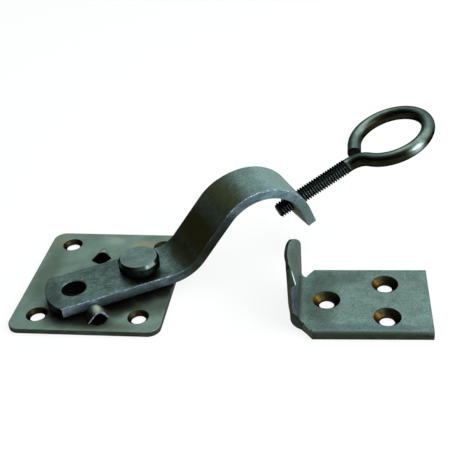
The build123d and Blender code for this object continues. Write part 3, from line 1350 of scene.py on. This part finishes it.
    def finishes(self) -> list[bpy.types.Material]:
        """Makes the bar's steels.

        Returns:
            The materials in the order of ArmFace.
        """
        face = SteelFinish(
            # Hot-rolled flat bar with its mill scale: dark green grey, speckled. Painted light brightens the
            # crest, painted shade browns the rise, and the stud casts a painted shadow on it.
            "hot_rolled_bar_scale",
            body="#5c726d",
            shade="#3a473f",
            speck="#96ada8",
            roughness=0.4,
            frame=self.frame,
            metallic=0.7,
            blotch=4.0,
            blotch_share=0.7,
            streak=(3.0, 0.9, 3.0),
            streak_share=0.1,
            speck_size=1.0,
            speck_share=0.4,
            speck_cut=0.57,
            pit_share=0.45,
            relief=0.03,
            stains=(
                Stain((-15, 9, 9.4), (20, 7, 4), "#26302c", 0.25),
                # Painted light: the crest lighter where the light falls on it.
                Stain((72, 0, 38), (17, 60, 12), "#97b3ae", 0.8),
                Stain((57, 0, 42), (8, 40, 7), "#728a84", 0.5),
                # Painted shade: the rise dark olive brown.
                Stain((44, 0, 35), (12, 60, 12), "#4a4c2e", 0.8, 0.25),
                Stain((32, 0, 20), (17, 60, 15), "#3b391c", 1.0, 0.25),
                Stain((21, -2, 11), (8, 40, 8), "#302e12", 0.85, 0.4),
                Stain((-43, 0, 9.4), (9, 20, 6), "#39453e", 0.6),
                # Painted shadow of the stud on the arm.
                Stain((0, -8.5, 9.4), (14, 7.5, 4), "#0a0905", 0.97),
            ),
        )
        side = SteelFinish(
            # The bar's rolled edge: bluish, with streaks along the bar; painted shade darkens it at the rise
            # and along its lower edge.
            "rolled_bar_edge",
            body="#a2bdc9",
            shade="#5f7078",
            speck="#c6dbe6",
            roughness=0.36,
            frame=self.frame,
            blotch=5.0,
            blotch_share=0.7,
            streak=(5.0, 5.0, 0.45),
            streak_share=0.35,
            speck_share=0.35,
            pit_share=0.3,
            stains=(
                # Painted shade on the side at the rise.
                Stain((16, -12.7, 7), (18, 9, 9), "#22241b", 0.85),
                Stain((27, -12.7, 14), (16, 9, 14), "#23271b", 0.95, 0.2),
                Stain((34, -12.7, 20.5), (15, 9, 14), "#20241a", 0.95, 0.2),
                Stain((41, -12.7, 27.5), (10, 9, 10), "#262d29", 0.9, 0.3),
                Stain((82, -12.7, 17), (17, 9, 22), "#6c7f7c", 0.95, 0.2),
                # Painted shade along the side's lower edge, by the plate.
                Stain((-14, -12.7, 4.2), (50, 9, 2.0), "#101417", 0.35),
            ),
        )
        corner = SteelFinish(
            # Scale knocked off along the near corner: bright steel in beads, partly a painted highlight, with
            # painted shade on the rise and the flat.
            "worn_bar_corner",
            body="#6d7f8b",
            shade="#46525a",
            speck="#b4c8d8",
            roughness=0.5,
            frame=self.frame,
            metallic=0.3,
            blotch=1.5,
            blotch_share=0.8,
            speck_size=1.0,
            speck_share=0.7,
            speck_cut=0.5,
            stains=(
                # Painted shade on the corner at the rise and along the flat.
                Stain((27, -12.7, 14), (18, 9, 14), "#262a20", 0.95, 0.3),
                Stain((38, -12.7, 26), (13, 9, 13), "#2a322e", 0.9, 0.3),
                Stain((-14, -12.7, 9.4), (32, 9, 4), "#46545c", 0.5, 1.0),
            ),
        )
        black = SteelFinish(
            # The tail hole's punched wall and the sheared tail end: painted shade, near black.
            "punched_bar_hole",
            body="#090a0c",
            shade="#050506",
            speck="#15191c",
            roughness=0.6,
            frame=self.frame,
            metallic=0.0,
            specular=0.05,
        )
        under = SteelFinish(
            # The underside, where the scale was never rubbed: dull and even.
            "dull_bar_underside",
            body="#5f6b5e",
            shade="#454c3f",
            speck="#77857a",
            roughness=0.8,
            frame=self.frame,
            metallic=0.0,
            specular=0.1,
        )
        return [finish.material() for finish in (face, side, corner, black, under)]


@dataclass
class RingScrew:
    """The ring screw: a rolled thread and one plain rod bent round into a ring. Millimetres."""

    frame: Matrix
    crest_radius: float = 3.97
    thread_depth: float = 0.87
    pitch: float = 1.411
    turns: int = 30
    rows_a_turn: int = 12
    columns: int = 48
    crest_share: float = 0.125
    root_share: float = 0.2
    tip_radius: float = 2.9
    tip_chamfer: float = 1.0
    seam_reach: float = 0.004
    crest_skin: float = 0.12
    # The crests' painted glint: the way the side that stays bright faces, and the cosines of the shade.
    crest_rubbed: Place = (0.426, -0.877, 0.218)
    crest_film: tuple[float, float] = (0.97, 0.8)
    rod_radius: float = 3.55
    rod_edge: float = 0.35
    # Painted shade on the ring: the way its unshaded side faces, and the cosines of the shade.
    rod_wiped: Place = (0.0, 0.7, 0.7)
    rod_film: tuple[float, float] = (0.45, 0.0)
    neck_inset: float = 0.12
    neck_length: float = -0.2
    neck_overlap: float = 1.0
    neck_handle: float = 0.3
    bend_handle: float = 4.85
    ring_radius: float = 19.6
    ring_standoff: float = 8.09
    ring_centre: tuple[float, float] = (0.7, 0.3)
    ring_roll: float = -4.2
    ring_pitch: float = 1.85
    join_angle: float = 205.0
    end_angle: float = 510.0
    end_length: float = 6.9
    arc_count: int = 6
    # A painted glare on the ring, and how far round it the painted shade thins.
    rubbed_spot: Place = (72.5, -21.5, 2.4)
    rubbed_reach: float = 6.5

    @property
    def thread_length(self) -> float:
        """The threaded length."""
        return self.turns * self.pitch

    @property
    def ring_frame(self) -> Matrix:
        """The ring's own frame in the screw's.

        Returns:
            The frame, in millimetres.
        """
        reach = self.thread_length + self.ring_standoff + self.ring_radius
        roll = Matrix.Rotation(radians(self.ring_roll), 4, "X")
        tilt = Matrix.Rotation(radians(self.ring_pitch), 4, "Y")
        return roll @ Matrix.Translation((reach, *self.ring_centre)) @ tilt

    def build(self) -> list[bpy.types.Object]:
        """Models the thread and the ring and dresses them.

        Returns:
            The shank and the ring.
        """
        to_screw = self.frame.to_3x3().inverted()
        shank = self._thread()
        skin = self.crest_radius - self.crest_skin
        paint(shank, ThreadFace.CREST, lambda c, n: hypot(c.y, c.z) > skin)
        # Painted glint: painted shade darkens the crests except on the side that faces the lamp.
        lay_film(shank, to_screw @ Vector(self.crest_rubbed), *self.crest_film)
        ring = self._ring()
        # Painted shade on the ring's lower and near sides, thinned round a painted glare.
        lay_film(ring, to_screw @ Vector(self.rod_wiped), *self.rod_film, self.rubbed_spot, self.rubbed_reach)
        settle(shank, self.frame, Body.SHANK, ["screw_shank"], self.thread_finishes(), 40)
        settle(ring, self.frame, Body.RING, ["screw_ring"], self.rod_finishes(), 40)
        return [shank, ring]

    def thread_finishes(self) -> list[bpy.types.Material]:
        """Makes the thread's steels.

        Returns:
            The materials in the order of ThreadFace.
        """
        groove = SteelFinish(
            # Rolled thread, its grooves black with oil.
            "oil_black_thread",
            body="#282e2a",
            shade="#121512",
            speck="#7f9691",
            roughness=0.28,
            frame=self.frame,
            blotch=3.0,
            speck_size=0.7,
            speck_share=0.3,
            relief=0.006,
        )
        crest = SteelFinish(
            # The thread's crests, rubbed and grey green, with small cold glints. Only the side that faces the
            # lamp stays bright, as a painted glint; painted shade darkens the rest.
            "rubbed_thread_crest",
            body="#93a8a9",
            shade="#5d6b68",
            speck="#c3d8d6",
            roughness=0.26,
            frame=self.frame,
            blotch=3.0,
            speck_size=0.9,
            relief=0.006,
            film="#37413b",
            rim_tint="#97a09b",
        )
        return [finish.material() for finish in (groove, crest)]

    def rod_finishes(self) -> list[bpy.types.Material]:
        """Makes the ring's steels.

        Returns:
            The materials in the order of RodFace.
        """
        rod = SteelFinish(
            # Drawn rod, bent cold: smooth, pale green grey. Painted shade lays brown black over its lower and
            # near sides, and a painted glare lies on its lower right.
            "drawn_rod_steel",
            body="#687a72",
            shade="#4c564d",
            speck="#9fb3ac",
            roughness=0.3,
            frame=self.frame,
            blotch=9.0,
            blotch_share=0.75,
            streak=(6.0, 6.0, 0.8),
            streak_share=0.12,
            speck_share=0.25,
            relief=0.008,
            # A painted glare on the ring's lower right.
            stains=(Stain(self.rubbed_spot, (5, 3, 2.6), "#c3d6dc", 0.6),),
            film="#26271c",
            rim_tint="#8d9691",
        )
        cut = SteelFinish(
            # The rod's sawn end, black with scale.
            "sawn_rod_end",
            body="#101210",
            shade="#080908",
            speck="#232724",
            roughness=0.6,
            frame=self.frame,
            metallic=0.3,
        )
        return [finish.material() for finish in (rod, cut)]

    def _thread(self) -> bpy.types.Object:
        """Models the helical thread: each row of a sheared grid follows the helix.

        Returns:
            The threaded shank.
        """
        rows = (self.turns + 2) * self.rows_a_turn
        shank = grid("rolled_screw_thread", rows, self.columns)
        for vertex in shank.data.vertices:
            row = round(vertex.co.x * rows)
            share = (vertex.co.y + 1) / 2
            angle = 2 * pi * share
            along = (row / self.rows_a_turn + share - 1.5) * self.pitch
            radius = self._thread_radius(row % self.rows_a_turn / self.rows_a_turn, along)
            along = min(max(along, 0.0), self.thread_length)
            vertex.co = (along * MM, radius * cos(angle) * MM, radius * sin(angle) * MM)
        close_up(shank, self.seam_reach)
        with editing(shank):
            bpy.ops.mesh.fill_holes(sides=0)
            bpy.ops.mesh.select_all(action="SELECT")
            bpy.ops.mesh.normals_make_consistent(inside=False)
        return shank

    def _thread_radius(self, phase: float, along: float) -> float:
        """Finds the thread's radius.

        Args:
            phase: The place in one pitch, from zero to one, with the crest in the middle.
            along: The place along the screw.

        Returns:
            The radius, cut back by the tip's chamfer and the run-out at the neck.
        """
        away = abs(phase - 0.5)
        slope = (0.5 - self.root_share / 2 - away) / (0.5 - self.root_share / 2 - self.crest_share / 2)
        height = min(max(slope, 0.0), 1.0)
        radius = self.crest_radius - self.thread_depth * (1 - height)
        chamfer = self.tip_radius + max(along, 0.0) * (self.crest_radius - self.tip_radius) / self.tip_chamfer
        left = max(self.thread_length - along, 0.0) / self.pitch
        fade = min(left, 1.0)
        neck = self.rod_radius - self.neck_inset
        return min(chamfer, neck + (radius - neck) * fade)

    def _ring(self) -> bpy.types.Object:
        """Models the neck and the ring as one round rod along a smooth line, and marks its cut end.

        Returns:
            The rod.
        """
        line = self._rod_line()
        bpy.ops.object.select_all(action="DESELECT")
        bpy.ops.curve.primitive_bezier_curve_add(location=(0, 0, 0))
        rod = bpy.context.object
        rod.name = "bent_screw_ring"
        curve = rod.data
        spline = curve.splines[0]
        spline.bezier_points.add(len(line) - len(spline.bezier_points))
        for point, (spot, way, before, after) in zip(spline.bezier_points, line):
            point.handle_left_type = point.handle_right_type = "FREE"
            point.co = spot * MM
            point.handle_left = (spot - way * before) * MM
            point.handle_right = (spot + way * after) * MM
        curve.dimensions = "3D"
        curve.twist_mode = "MINIMUM"
        curve.resolution_u = 20
        curve.bevel_depth = self.rod_radius * MM
        curve.bevel_resolution = 10
        curve.use_fill_caps = True
        bpy.ops.object.convert(target="MESH")
        rod = bpy.context.object
        close_up(rod)
        soften(rod, self.rod_edge, 2, 60)
        close_up(rod)
        end_spot, end_way, _, _ = line[-1]
        reach = self.rod_radius + 2 * NEAR
        paint(rod, RodFace.CUT, lambda c, n: n.dot(end_way) > 0.5 and (c - end_spot).length < reach)
        return rod

    def _rod_line(self) -> list[tuple[Vector, Vector, float, float]]:
        """Draws the rod's line.

        Returns:
            For each point: its place, its direction and its handles' lengths before and after it.
        """
        bend_start = self.thread_length + self.neck_length
        centre = self.ring_frame
        step = radians(self.end_angle - self.join_angle) / self.arc_count
        handle = 4 / 3 * tan(step / 4) * self.ring_radius
        end_handle = self.end_length / 3
        ahead = Vector((1, 0, 0))
        points = [
            (ahead * (bend_start - self.neck_overlap), ahead, self.neck_handle, self.neck_handle),
            (ahead * bend_start, ahead, self.neck_handle, self.bend_handle),
        ]
        for index in range(self.arc_count + 1):
            angle = radians(self.join_angle) + index * step
            spot = centre @ Vector((self.ring_radius * cos(angle), self.ring_radius * sin(angle), 0))
            way = centre.to_3x3() @ Vector((-sin(angle), cos(angle), 0))
            before = handle if index else self.bend_handle
            points.append((spot, way, before, handle if index < self.arc_count else end_handle))
        # The rod's end stayed straight in the bending.
        points.append((spot + way * self.end_length, way, end_handle, end_handle))
        return points


@dataclass
class Keeper:
    """The keeper: a strip with cut corners and three holes, bent up into a hollowed lug. Millimetres."""

    length: float = 62.7
    width: float = 44.5
    thickness: float = 4.0
    corner_cut: float = 6.0
    corner_run: float = 4.4
    corner_inset: float = 9.7
    bend_radius: float = 3.0
    hole_radius: float = 3.5
    sink_radius: float = 6.1
    single_hole_inset: float = 15.8
    pair_inset: float = 19.9
    pair_spacing: float = 23.3
    lug_height: float = 32.0
    shoulder_radius: float = 12.0
    lean_foot: float = 0.65
    lean_top: float = 0.6
    lean_gain: float = 4.0
    rim_bottom: float = 24.0
    rim_top: float = 29.5
    rim_side: float = 5.0
    scoop_bottom: float = 17.5
    scoop_reach: float = 32.0
    scoop_depth: float = 4.4
    scoop_slope: float = 0.55
    scoop_thinning: float = 0.75
    lip_thickness: float = 1.5
    soft_corner: tuple[float, float] = (2.0, 1.9)
    soft_gain: tuple[float, float] = (8.0, 4.2)
    edge_radius: float = 0.25
    edge_merge: float = 0.03
    rolled_radius: float = 1.9
    rolled_room: float = 0.2
    # Painted shade on the strip: the way its unshaded sides face, and the cosines of the shade.
    wiped: Place = (0.45, 0.75, 0.45)
    film: tuple[float, float] = (0.3, -0.62)
    rows: int = 52
    frame: Matrix = field(default_factory=lambda: place((154.07, -11.34, 0), (0, 0, 2.12)))

    @property
    def lug_half_width(self) -> float:
        """Half the lug's width."""
        return self.width / 2 - self.corner_cut

    @property
    def middle_radius(self) -> float:
        """The bend's radius at the middle of the strip."""
        return self.bend_radius + self.thickness / 2

    @property
    def foot(self) -> float:
        """The height at which the lug stands upright."""
        return self.bend_radius + self.thickness

    @property
    def flat(self) -> float:
        """The strip's length before the bend."""
        return self.length - self.foot

    @property
    def bend(self) -> float:
        """The bend's length along the middle of the strip."""
        return self.middle_radius * pi / 2

    @property
    def holes(self) -> list[tuple[float, float]]:
        """The three holes' places."""
        half = self.pair_spacing / 2
        single = self.single_hole_inset - self.length
        return [(single, 0), (-self.pair_inset, half), (-self.pair_inset, -half)]

    def build(self) -> bpy.types.Object:
        """Models the keeper and dresses it.

        Returns:
            The keeper.
        """
        stations = self._stations()
        keeper = grid("bent_keeper_plate", len(stations) - 1, self.rows)
        weights = keeper.vertex_groups.new(name="thickness")
        for vertex in keeper.data.vertices:
            station = stations[round(vertex.co.x * (len(stations) - 1))]
            spot, thickness = self._spot(station, vertex.co.y)
            vertex.co = spot * MM
            weights.add([vertex.index], thickness / self.thickness, "REPLACE")
        walls = {"vertex_group": weights.name, "use_even_offset": True}
        modify(keeper, "SOLIDIFY", thickness=self.thickness * MM, offset=0, **walls)
        near_side = (NEAR - self.width / 2) * MM
        upper = (self.thickness - 2 * NEAR) * MM

        def on_near_edge(first: bpy.types.MeshVertex, last: bpy.types.MeshVertex) -> bool:
            """Whether an edge runs along the strip's near upper corner."""
            return max(first.co.y, last.co.y) < near_side and min(first.co.z, last.co.z) > upper

        round_edges(keeper, self.rolled_radius, 6, on_near_edge)
        soften(keeper, self.edge_radius, 3, 55)
        close_up(keeper, self.edge_merge)
        for x, y in self.holes:
            carve(keeper, countersink(self.hole_radius, self.sink_radius, self.thickness), place((x, y, 0)))
        # Painted shade on the faces turned to the front and away from the light, the rolled near edge among
        # them.
        lay_film(keeper, Vector(self.wiped), *self.film)
        paint(keeper, KeeperFace.SIDE, self._on_side)
        paint(keeper, KeeperFace.CORNER, self._on_corner)
        paint(keeper, KeeperFace.SIDE, self._on_shoulder)
        # The scoop's near rim gets a painted highlight.
        paint(keeper, KeeperFace.RIM, self._on_rim)
        paint(keeper, KeeperFace.SINK, self._in_hole)
        return settle(keeper, self.frame, Body.FIXED, ["keeper_plate"], self.finishes(), 40)

    def _on_side(self, centre: Vector, normal: Vector) -> bool:
        """Whether a face lies on a sheared side, at the strip's free end or on the lug's rim."""
        end = normal.x > 0.9 and centre.x > -1 or abs(normal.x) < 0.5 and centre.z > self.foot
        return end or abs(normal.y) > 0.95

    def _on_rim(self, centre: Vector, normal: Vector) -> bool:
        """Whether a face lies on the near rim of the lug's scoop, which carries a painted highlight."""
        return self._on_shoulder(centre, normal) and normal.x > 0.7 and centre.z < self.rim_top

    def _on_corner(self, centre: Vector, normal: Vector) -> bool:
        """Whether a face lies on the lug's hammered near corner."""
        near = normal.x > 0.25 and normal.y < -0.15 and centre.y < -self.shoulder_radius
        return near and centre.z > self.foot

    def _on_shoulder(self, centre: Vector, normal: Vector) -> bool:
        """Whether a face lies on the near corner's upper part, beside the scoop."""
        near = normal.x > 0.25 and normal.y < -0.15 and centre.y < -self.rim_side
        return near and centre.z > self.rim_bottom

    def _above_scoop(self, across: float, height: float) -> float:
        """How far a place on the lug lies above the scoop's rim."""
        return height - self.scoop_bottom - across**2 / self.scoop_reach

    def _in_hole(self, centre: Vector, normal: Vector) -> bool:
        """Whether a face lies in a screw hole."""
        near = min(hypot(centre.x - x, centre.y - y) for x, y in self.holes)
        return near < self.sink_radius + 2 * NEAR and abs(normal.z) < 0.9 and centre.z < self.thickness + NEAR

    def _stations(self) -> list[float]:
        """Lists the distances along the strip, from its free end, at which the grid has a column.

        Returns:
            The distances, closest in the bend and on the lug.
        """
        corner = self.length - self.corner_inset
        upright = self.flat + self.bend
        shoulder = upright + self.lug_height - self.shoulder_radius - self.foot
        stations = [0.0]
        for end, count in ((corner, 14), (self.flat, 3), (upright, 10), (shoulder, 20)):
            start = stations[-1]
            stations += [start + (end - start) * step / count for step in range(1, count + 1)]
        columns = 20
        turns = [pi / 2 * step / columns for step in range(1, columns + 1)]
        return stations + [shoulder + self.shoulder_radius * sin(turn) for turn in turns]

    def _spot(self, station: float, across: float) -> tuple[Vector, float]:
        """Finds a point of the strip's middle surface.

        Args:
            station: The distance along the strip from its free end.
            across: The place across, from minus one to one.

        Returns:
            The point and the thickness there.
        """
        upright = self.flat + self.bend
        if station > upright + NEAR:
            return self._lug_spot(self.foot + station - upright, across)
        swung = max(station - self.flat, 0.0) / self.middle_radius
        x = -min(station, self.flat) - self.middle_radius * sin(swung)
        z = self.thickness / 2 + self.middle_radius * (1 - cos(swung))
        past = min(max(-x - self.length + self.corner_inset, 0.0) / self.corner_run, 1.0)
        half = self.width / 2 - self.corner_cut * past
        inward = half + across * half
        room = self.rolled_radius + self.rolled_room
        if past < NEAR and NEAR < inward < 2 * room:
            # The grid leaves room for the rolled near edge.
            inward = room + inward / 2
        return Vector((x, inward - half, z)), self.thickness

    def _lug_spot(self, z: float, across: float) -> tuple[Vector, float]:
        """Finds a point of the lug's middle surface.

        Args:
            z: The height.
            across: The place across, from minus one to one.

        Returns:
            The point and the thickness there.
        """
        soft_width, soft_drop = self.soft_corner
        foot_gain, top_gain = self.soft_gain
        half = self.lug_half_width
        above = z - self.lug_height + self.shoulder_radius
        if above > 0:
            half += sqrt(max(self.shoulder_radius**2 - above**2, 0.0)) - self.shoulder_radius
        y = across * half
        rise = (z - self.foot) / (self.lug_height - self.foot)
        sunk = max(self._above_scoop(y, z), 0.0) / (self.lug_height - self.scoop_bottom)
        depth = self.scoop_depth * sunk * (self.scoop_slope + (1 - self.scoop_slope) * sunk)
        corner = max(soft_width - half - y, 0.0) / soft_width
        drop = soft_drop * corner**2 * min(foot_gain * rise, 1.0) * min(max(top_gain * (1 - rise), 0.0), 1.0)
        lean = self.lean_foot * min(self.lean_gain * rise, 1.0) + self.lean_top * rise
        bow = (y / self.lug_half_width - 1) / 2 * lean
        front = self.thickness - self.length + bow - depth - drop
        thickness = max(self.thickness - self.scoop_thinning * depth, self.lip_thickness) - drop
        return Vector((front - thickness / 2, y, z)), thickness

    def finishes(self) -> list[bpy.types.Material]:
        """Makes the keeper's steels.

        Returns:
            The materials in the order of KeeperFace.
        """
        # Painted highlights: gold on the left wall of each countersink, where the light comes in.
        glints = [Stain((x - 4.6, y + 0.5, 2.6), (3.2, 4.4, 4.0), "#6f4d1c", 0.8) for x, y in self.holes]
        face = SteelFinish(
            # Hot-rolled strip, wire-brushed: grey green, speckled, with faint streaks along its length. Its
            # shade colour is painted shade on the faces turned to the front and away from the light.
            "brushed_strip_steel",
            body="#698079",
            shade="#4c5b51",
            speck="#93aaa4",
            roughness=0.42,
            frame=self.frame,
            metallic=0.65,
            blotch=6.0,
            blotch_share=0.5,
            streak=(12.0, 0.8, 0.8),
            streak_share=0.08,
            speck_size=0.75,
            speck_share=0.35,
            speck_cut=0.57,
            pit_share=0.45,
            relief=0.02,
            stains=(
                Stain((-50, 0, 4), (12, 34, 6), "#3b4940", 0.7),
                Stain((-38, 16, 4), (16, 8, 6), "#43534a", 0.55),
                Stain((-28, -20.5, 4), (44, 6, 6), "#485859", 0.7),
                Stain((-62, -4, 12), (6, 30, 10), "#2f3b40", 0.85),
                Stain((-60, 12, 16), (5, 6, 7), "#27322f", 0.8),
                Stain((-62, 2, 25), (8, 30, 9), "#4f5f54", 0.75),
            ),
            film="#3d412f",
        )
        edge = SteelFinish(
            # The scoop's near rim: a painted highlight, a little brighter than the faces, with cold white
            # glints.
            "rubbed_strip_edge",
            body="#a9c2c8",
            shade="#6c8084",
            speck="#e6f6fa",
            roughness=0.3,
            frame=self.frame,
            metallic=0.2,
            blotch=3.0,
            speck_share=0.6,
            speck_cut=0.5,
        )
        corner = SteelFinish(
            # The lug's near corner, rounded by the hammer: a dull slate blue with small glints.
            "hammered_strip_corner",
            body="#49555c",
            shade="#343d40",
            speck="#8497a6",
            roughness=0.4,
            frame=self.frame,
            metallic=0.6,
            blotch=3.0,
            speck_share=0.5,
        )
        sink = SteelFinish(
            # Countersunk walls with burnt oil: near black, with a painted gold highlight on the left where
            # the light comes in.
            "countersunk_strip_steel",
            body="#2c2a1a",
            shade="#14150f",
            speck="#5c5432",
            roughness=0.34,
            frame=self.frame,
            blotch=4.0,
            streak_share=0.1,
            stains=tuple(glints),
        )
        side = SteelFinish(
            # Sheared sides, dark with scale and oil.
            "sheared_strip_side",
            body="#2f382f",
            shade="#202116",
            speck="#51605a",
            roughness=0.5,
            frame=self.frame,
            metallic=0.6,
            blotch=5.0,
            rim_tint="#2c302d",
            streak=(6.0, 6.0, 0.8),
            streak_share=0.2,
        )
        return [finish.material() for finish in (face, edge, sink, side, corner)]


@dataclass(frozen=True)
class Softbox:
    """A soft lamp: its place in millimetres, its width and height in metres, its power and its colour."""

    name: str
    spot: Place
    size: tuple[float, float]
    watts: float
    colour: str

    def hang(self, target: Vector) -> None:
        """Hangs the lamp.

        Args:
            target: What it looks at, in metres.
        """
        lamp = bpy.data.lights.new(self.name, "AREA")
        lamp.shape = "RECTANGLE"
        lamp.size, lamp.size_y = self.size
        lamp.energy = self.watts
        lamp.color = linear(self.colour)[:3]
        holder = bpy.data.objects.new(self.name, lamp)
        bpy.context.scene.collection.objects.link(holder)
        holder.location = Vector(self.spot) * MM
        holder.rotation_euler = (target - holder.location).to_track_quat("-Z", "Y").to_euler()


@dataclass
class Studio:
    """The white floor, the soft lights and the camera. Millimetres, radians and pixels."""

    floor_size: float = 6000.0
    floor_drop: float = 0.3
    floor_glow: float = 0.85
    softboxes: tuple[Softbox, ...] = (
        Softbox("right_softbox", (520, -60, 330), (0.55, 0.5), 2.6, "#fbfdff"),
        Softbox("top_softbox", (140, 260, 620), (0.7, 0.5), 2.2, "#f4fbff"),
        Softbox("front_softbox", (430, -270, 280), (0.14, 0.14), 0.35, "#fbfdff"),
    )
    target: Place = (70.0, 15.0, 15.0)
    bright_side: Place = (0.62, 0.3, 0.72)
    eye: Place = (122.52, -305.31, 243.93)
    yaw: float = -0.0768
    pitch: float = 0.5762
    roll: float = -0.0225
    focal_px: float = 826.594
    centre_px: tuple[float, float] = (308.87, 208.20)
    frame_px: float = 452.0
    sensor: float = 36.0
    nearest: float = 10.0

    def build(self) -> None:
        """Sets up the floor, the lights, the world and the camera."""
        self._floor()
        self._world()
        for softbox in self.softboxes:
            softbox.hang(Vector(self.target) * MM)
        self._camera()
        bpy.context.scene.view_settings.view_transform = "Standard"

    def _floor(self) -> None:
        """Lays a white floor that shows white to the eye and in the metal, and keeps a soft shadow."""
        bpy.ops.object.select_all(action="DESELECT")
        bpy.ops.mesh.primitive_plane_add(size=self.floor_size * MM, location=(0, 0, -self.floor_drop * MM))
        floor = bpy.context.object
        floor.name = "white_floor"
        material = bpy.data.materials.new("white_paper_floor")
        material.use_nodes = True
        tree = material.node_tree
        tree.nodes.clear()
        path = add_node(tree, "LightPath")
        seen = path.outputs["Is Camera Ray"]
        for ray in ("Is Glossy Ray", "Is Transmission Ray"):
            seen = add_node(tree, "Math", {0: seen, 1: path.outputs[ray]}, operation="MAXIMUM").outputs[0]
        share = add_node(tree, "Math", {0: seen, 1: self.floor_glow}, operation="MULTIPLY")
        paper = add_node(tree, "BsdfDiffuse", {"Color": linear("#f4f4f4")})
        glow = add_node(tree, "Emission", {"Color": linear("#ffffff"), "Strength": 1.0})
        mixed = add_node(tree, "MixShader", {0: share.outputs[0], 1: paper.outputs[0], 2: glow.outputs[0]})
        add_node(tree, "OutputMaterial", {"Surface": mixed.outputs[0]})
        floor.data.materials.append(material)

    def _world(self) -> None:
        """Fills the room with a soft light that falls off to the left and front."""
        world = bpy.data.worlds.new("soft_room")
        world.use_nodes = True
        tree = world.node_tree
        tree.nodes.clear()
        coordinates = add_node(tree, "TexCoord")
        slope = add_node(
            tree,
            "VectorMath",
            {0: coordinates.outputs["Generated"], 1: Vector(self.bright_side)},
            operation="DOT_PRODUCT",
        )
        level = add_node(
            tree,
            "MapRange",
            {"Value": slope.outputs["Value"], "From Min": -0.35, "From Max": 0.9},
            interpolation_type="SMOOTHSTEP",
        )
        walls = add_node(
            tree,
            "Mix",
            {"Factor": level.outputs[0], "A": linear("#2a2416"), "B": linear("#eef8fa")},
            data_type="RGBA",
        )
        room = add_node(tree, "Background", {"Color": walls.outputs["Result"], "Strength": 0.9})
        add_node(tree, "OutputWorld", {"Surface": room.outputs[0]})
        bpy.context.scene.world = world

    def _camera(self) -> None:
        """Sets the camera where the photograph was taken from."""
        forward = cos(self.pitch)
        ahead = Vector((sin(self.yaw) * forward, cos(self.yaw) * forward, -sin(self.pitch)))
        level = Vector((cos(self.yaw), -sin(self.yaw), 0))
        upright = level.cross(ahead)
        right = cos(self.roll) * level + sin(self.roll) * upright
        up = cos(self.roll) * upright - sin(self.roll) * level
        camera = bpy.data.cameras.new("photo_camera")
        camera.sensor_width = self.sensor
        camera.lens = self.focal_px / self.frame_px * self.sensor
        middle = self.frame_px / 2
        camera.shift_x = (middle - self.centre_px[0]) / self.frame_px
        camera.shift_y = (self.centre_px[1] - middle) / self.frame_px
        camera.clip_start = self.nearest * MM
        holder = bpy.data.objects.new("photo_camera", camera)
        bpy.context.scene.collection.objects.link(holder)
        turn = Matrix((right, up, -ahead)).transposed()
        holder.matrix_world = Matrix.LocRotScale(Vector(self.eye) * MM, turn.to_quaternion(), None)
        bpy.context.scene.camera = holder


def main() -> None:
    """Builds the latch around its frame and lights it."""
    logging.basicConfig(level=logging.INFO, format="%(name)s %(message)s")
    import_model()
    BasePlate().build()
    PivotStud().build()
    arm = SwingArm()
    arm.build()
    RingScrew(arm.screw_frame(arm.screw_reach)).build()
    Keeper().build()
    Studio().build()


if __name__ == "__main__":
    main()
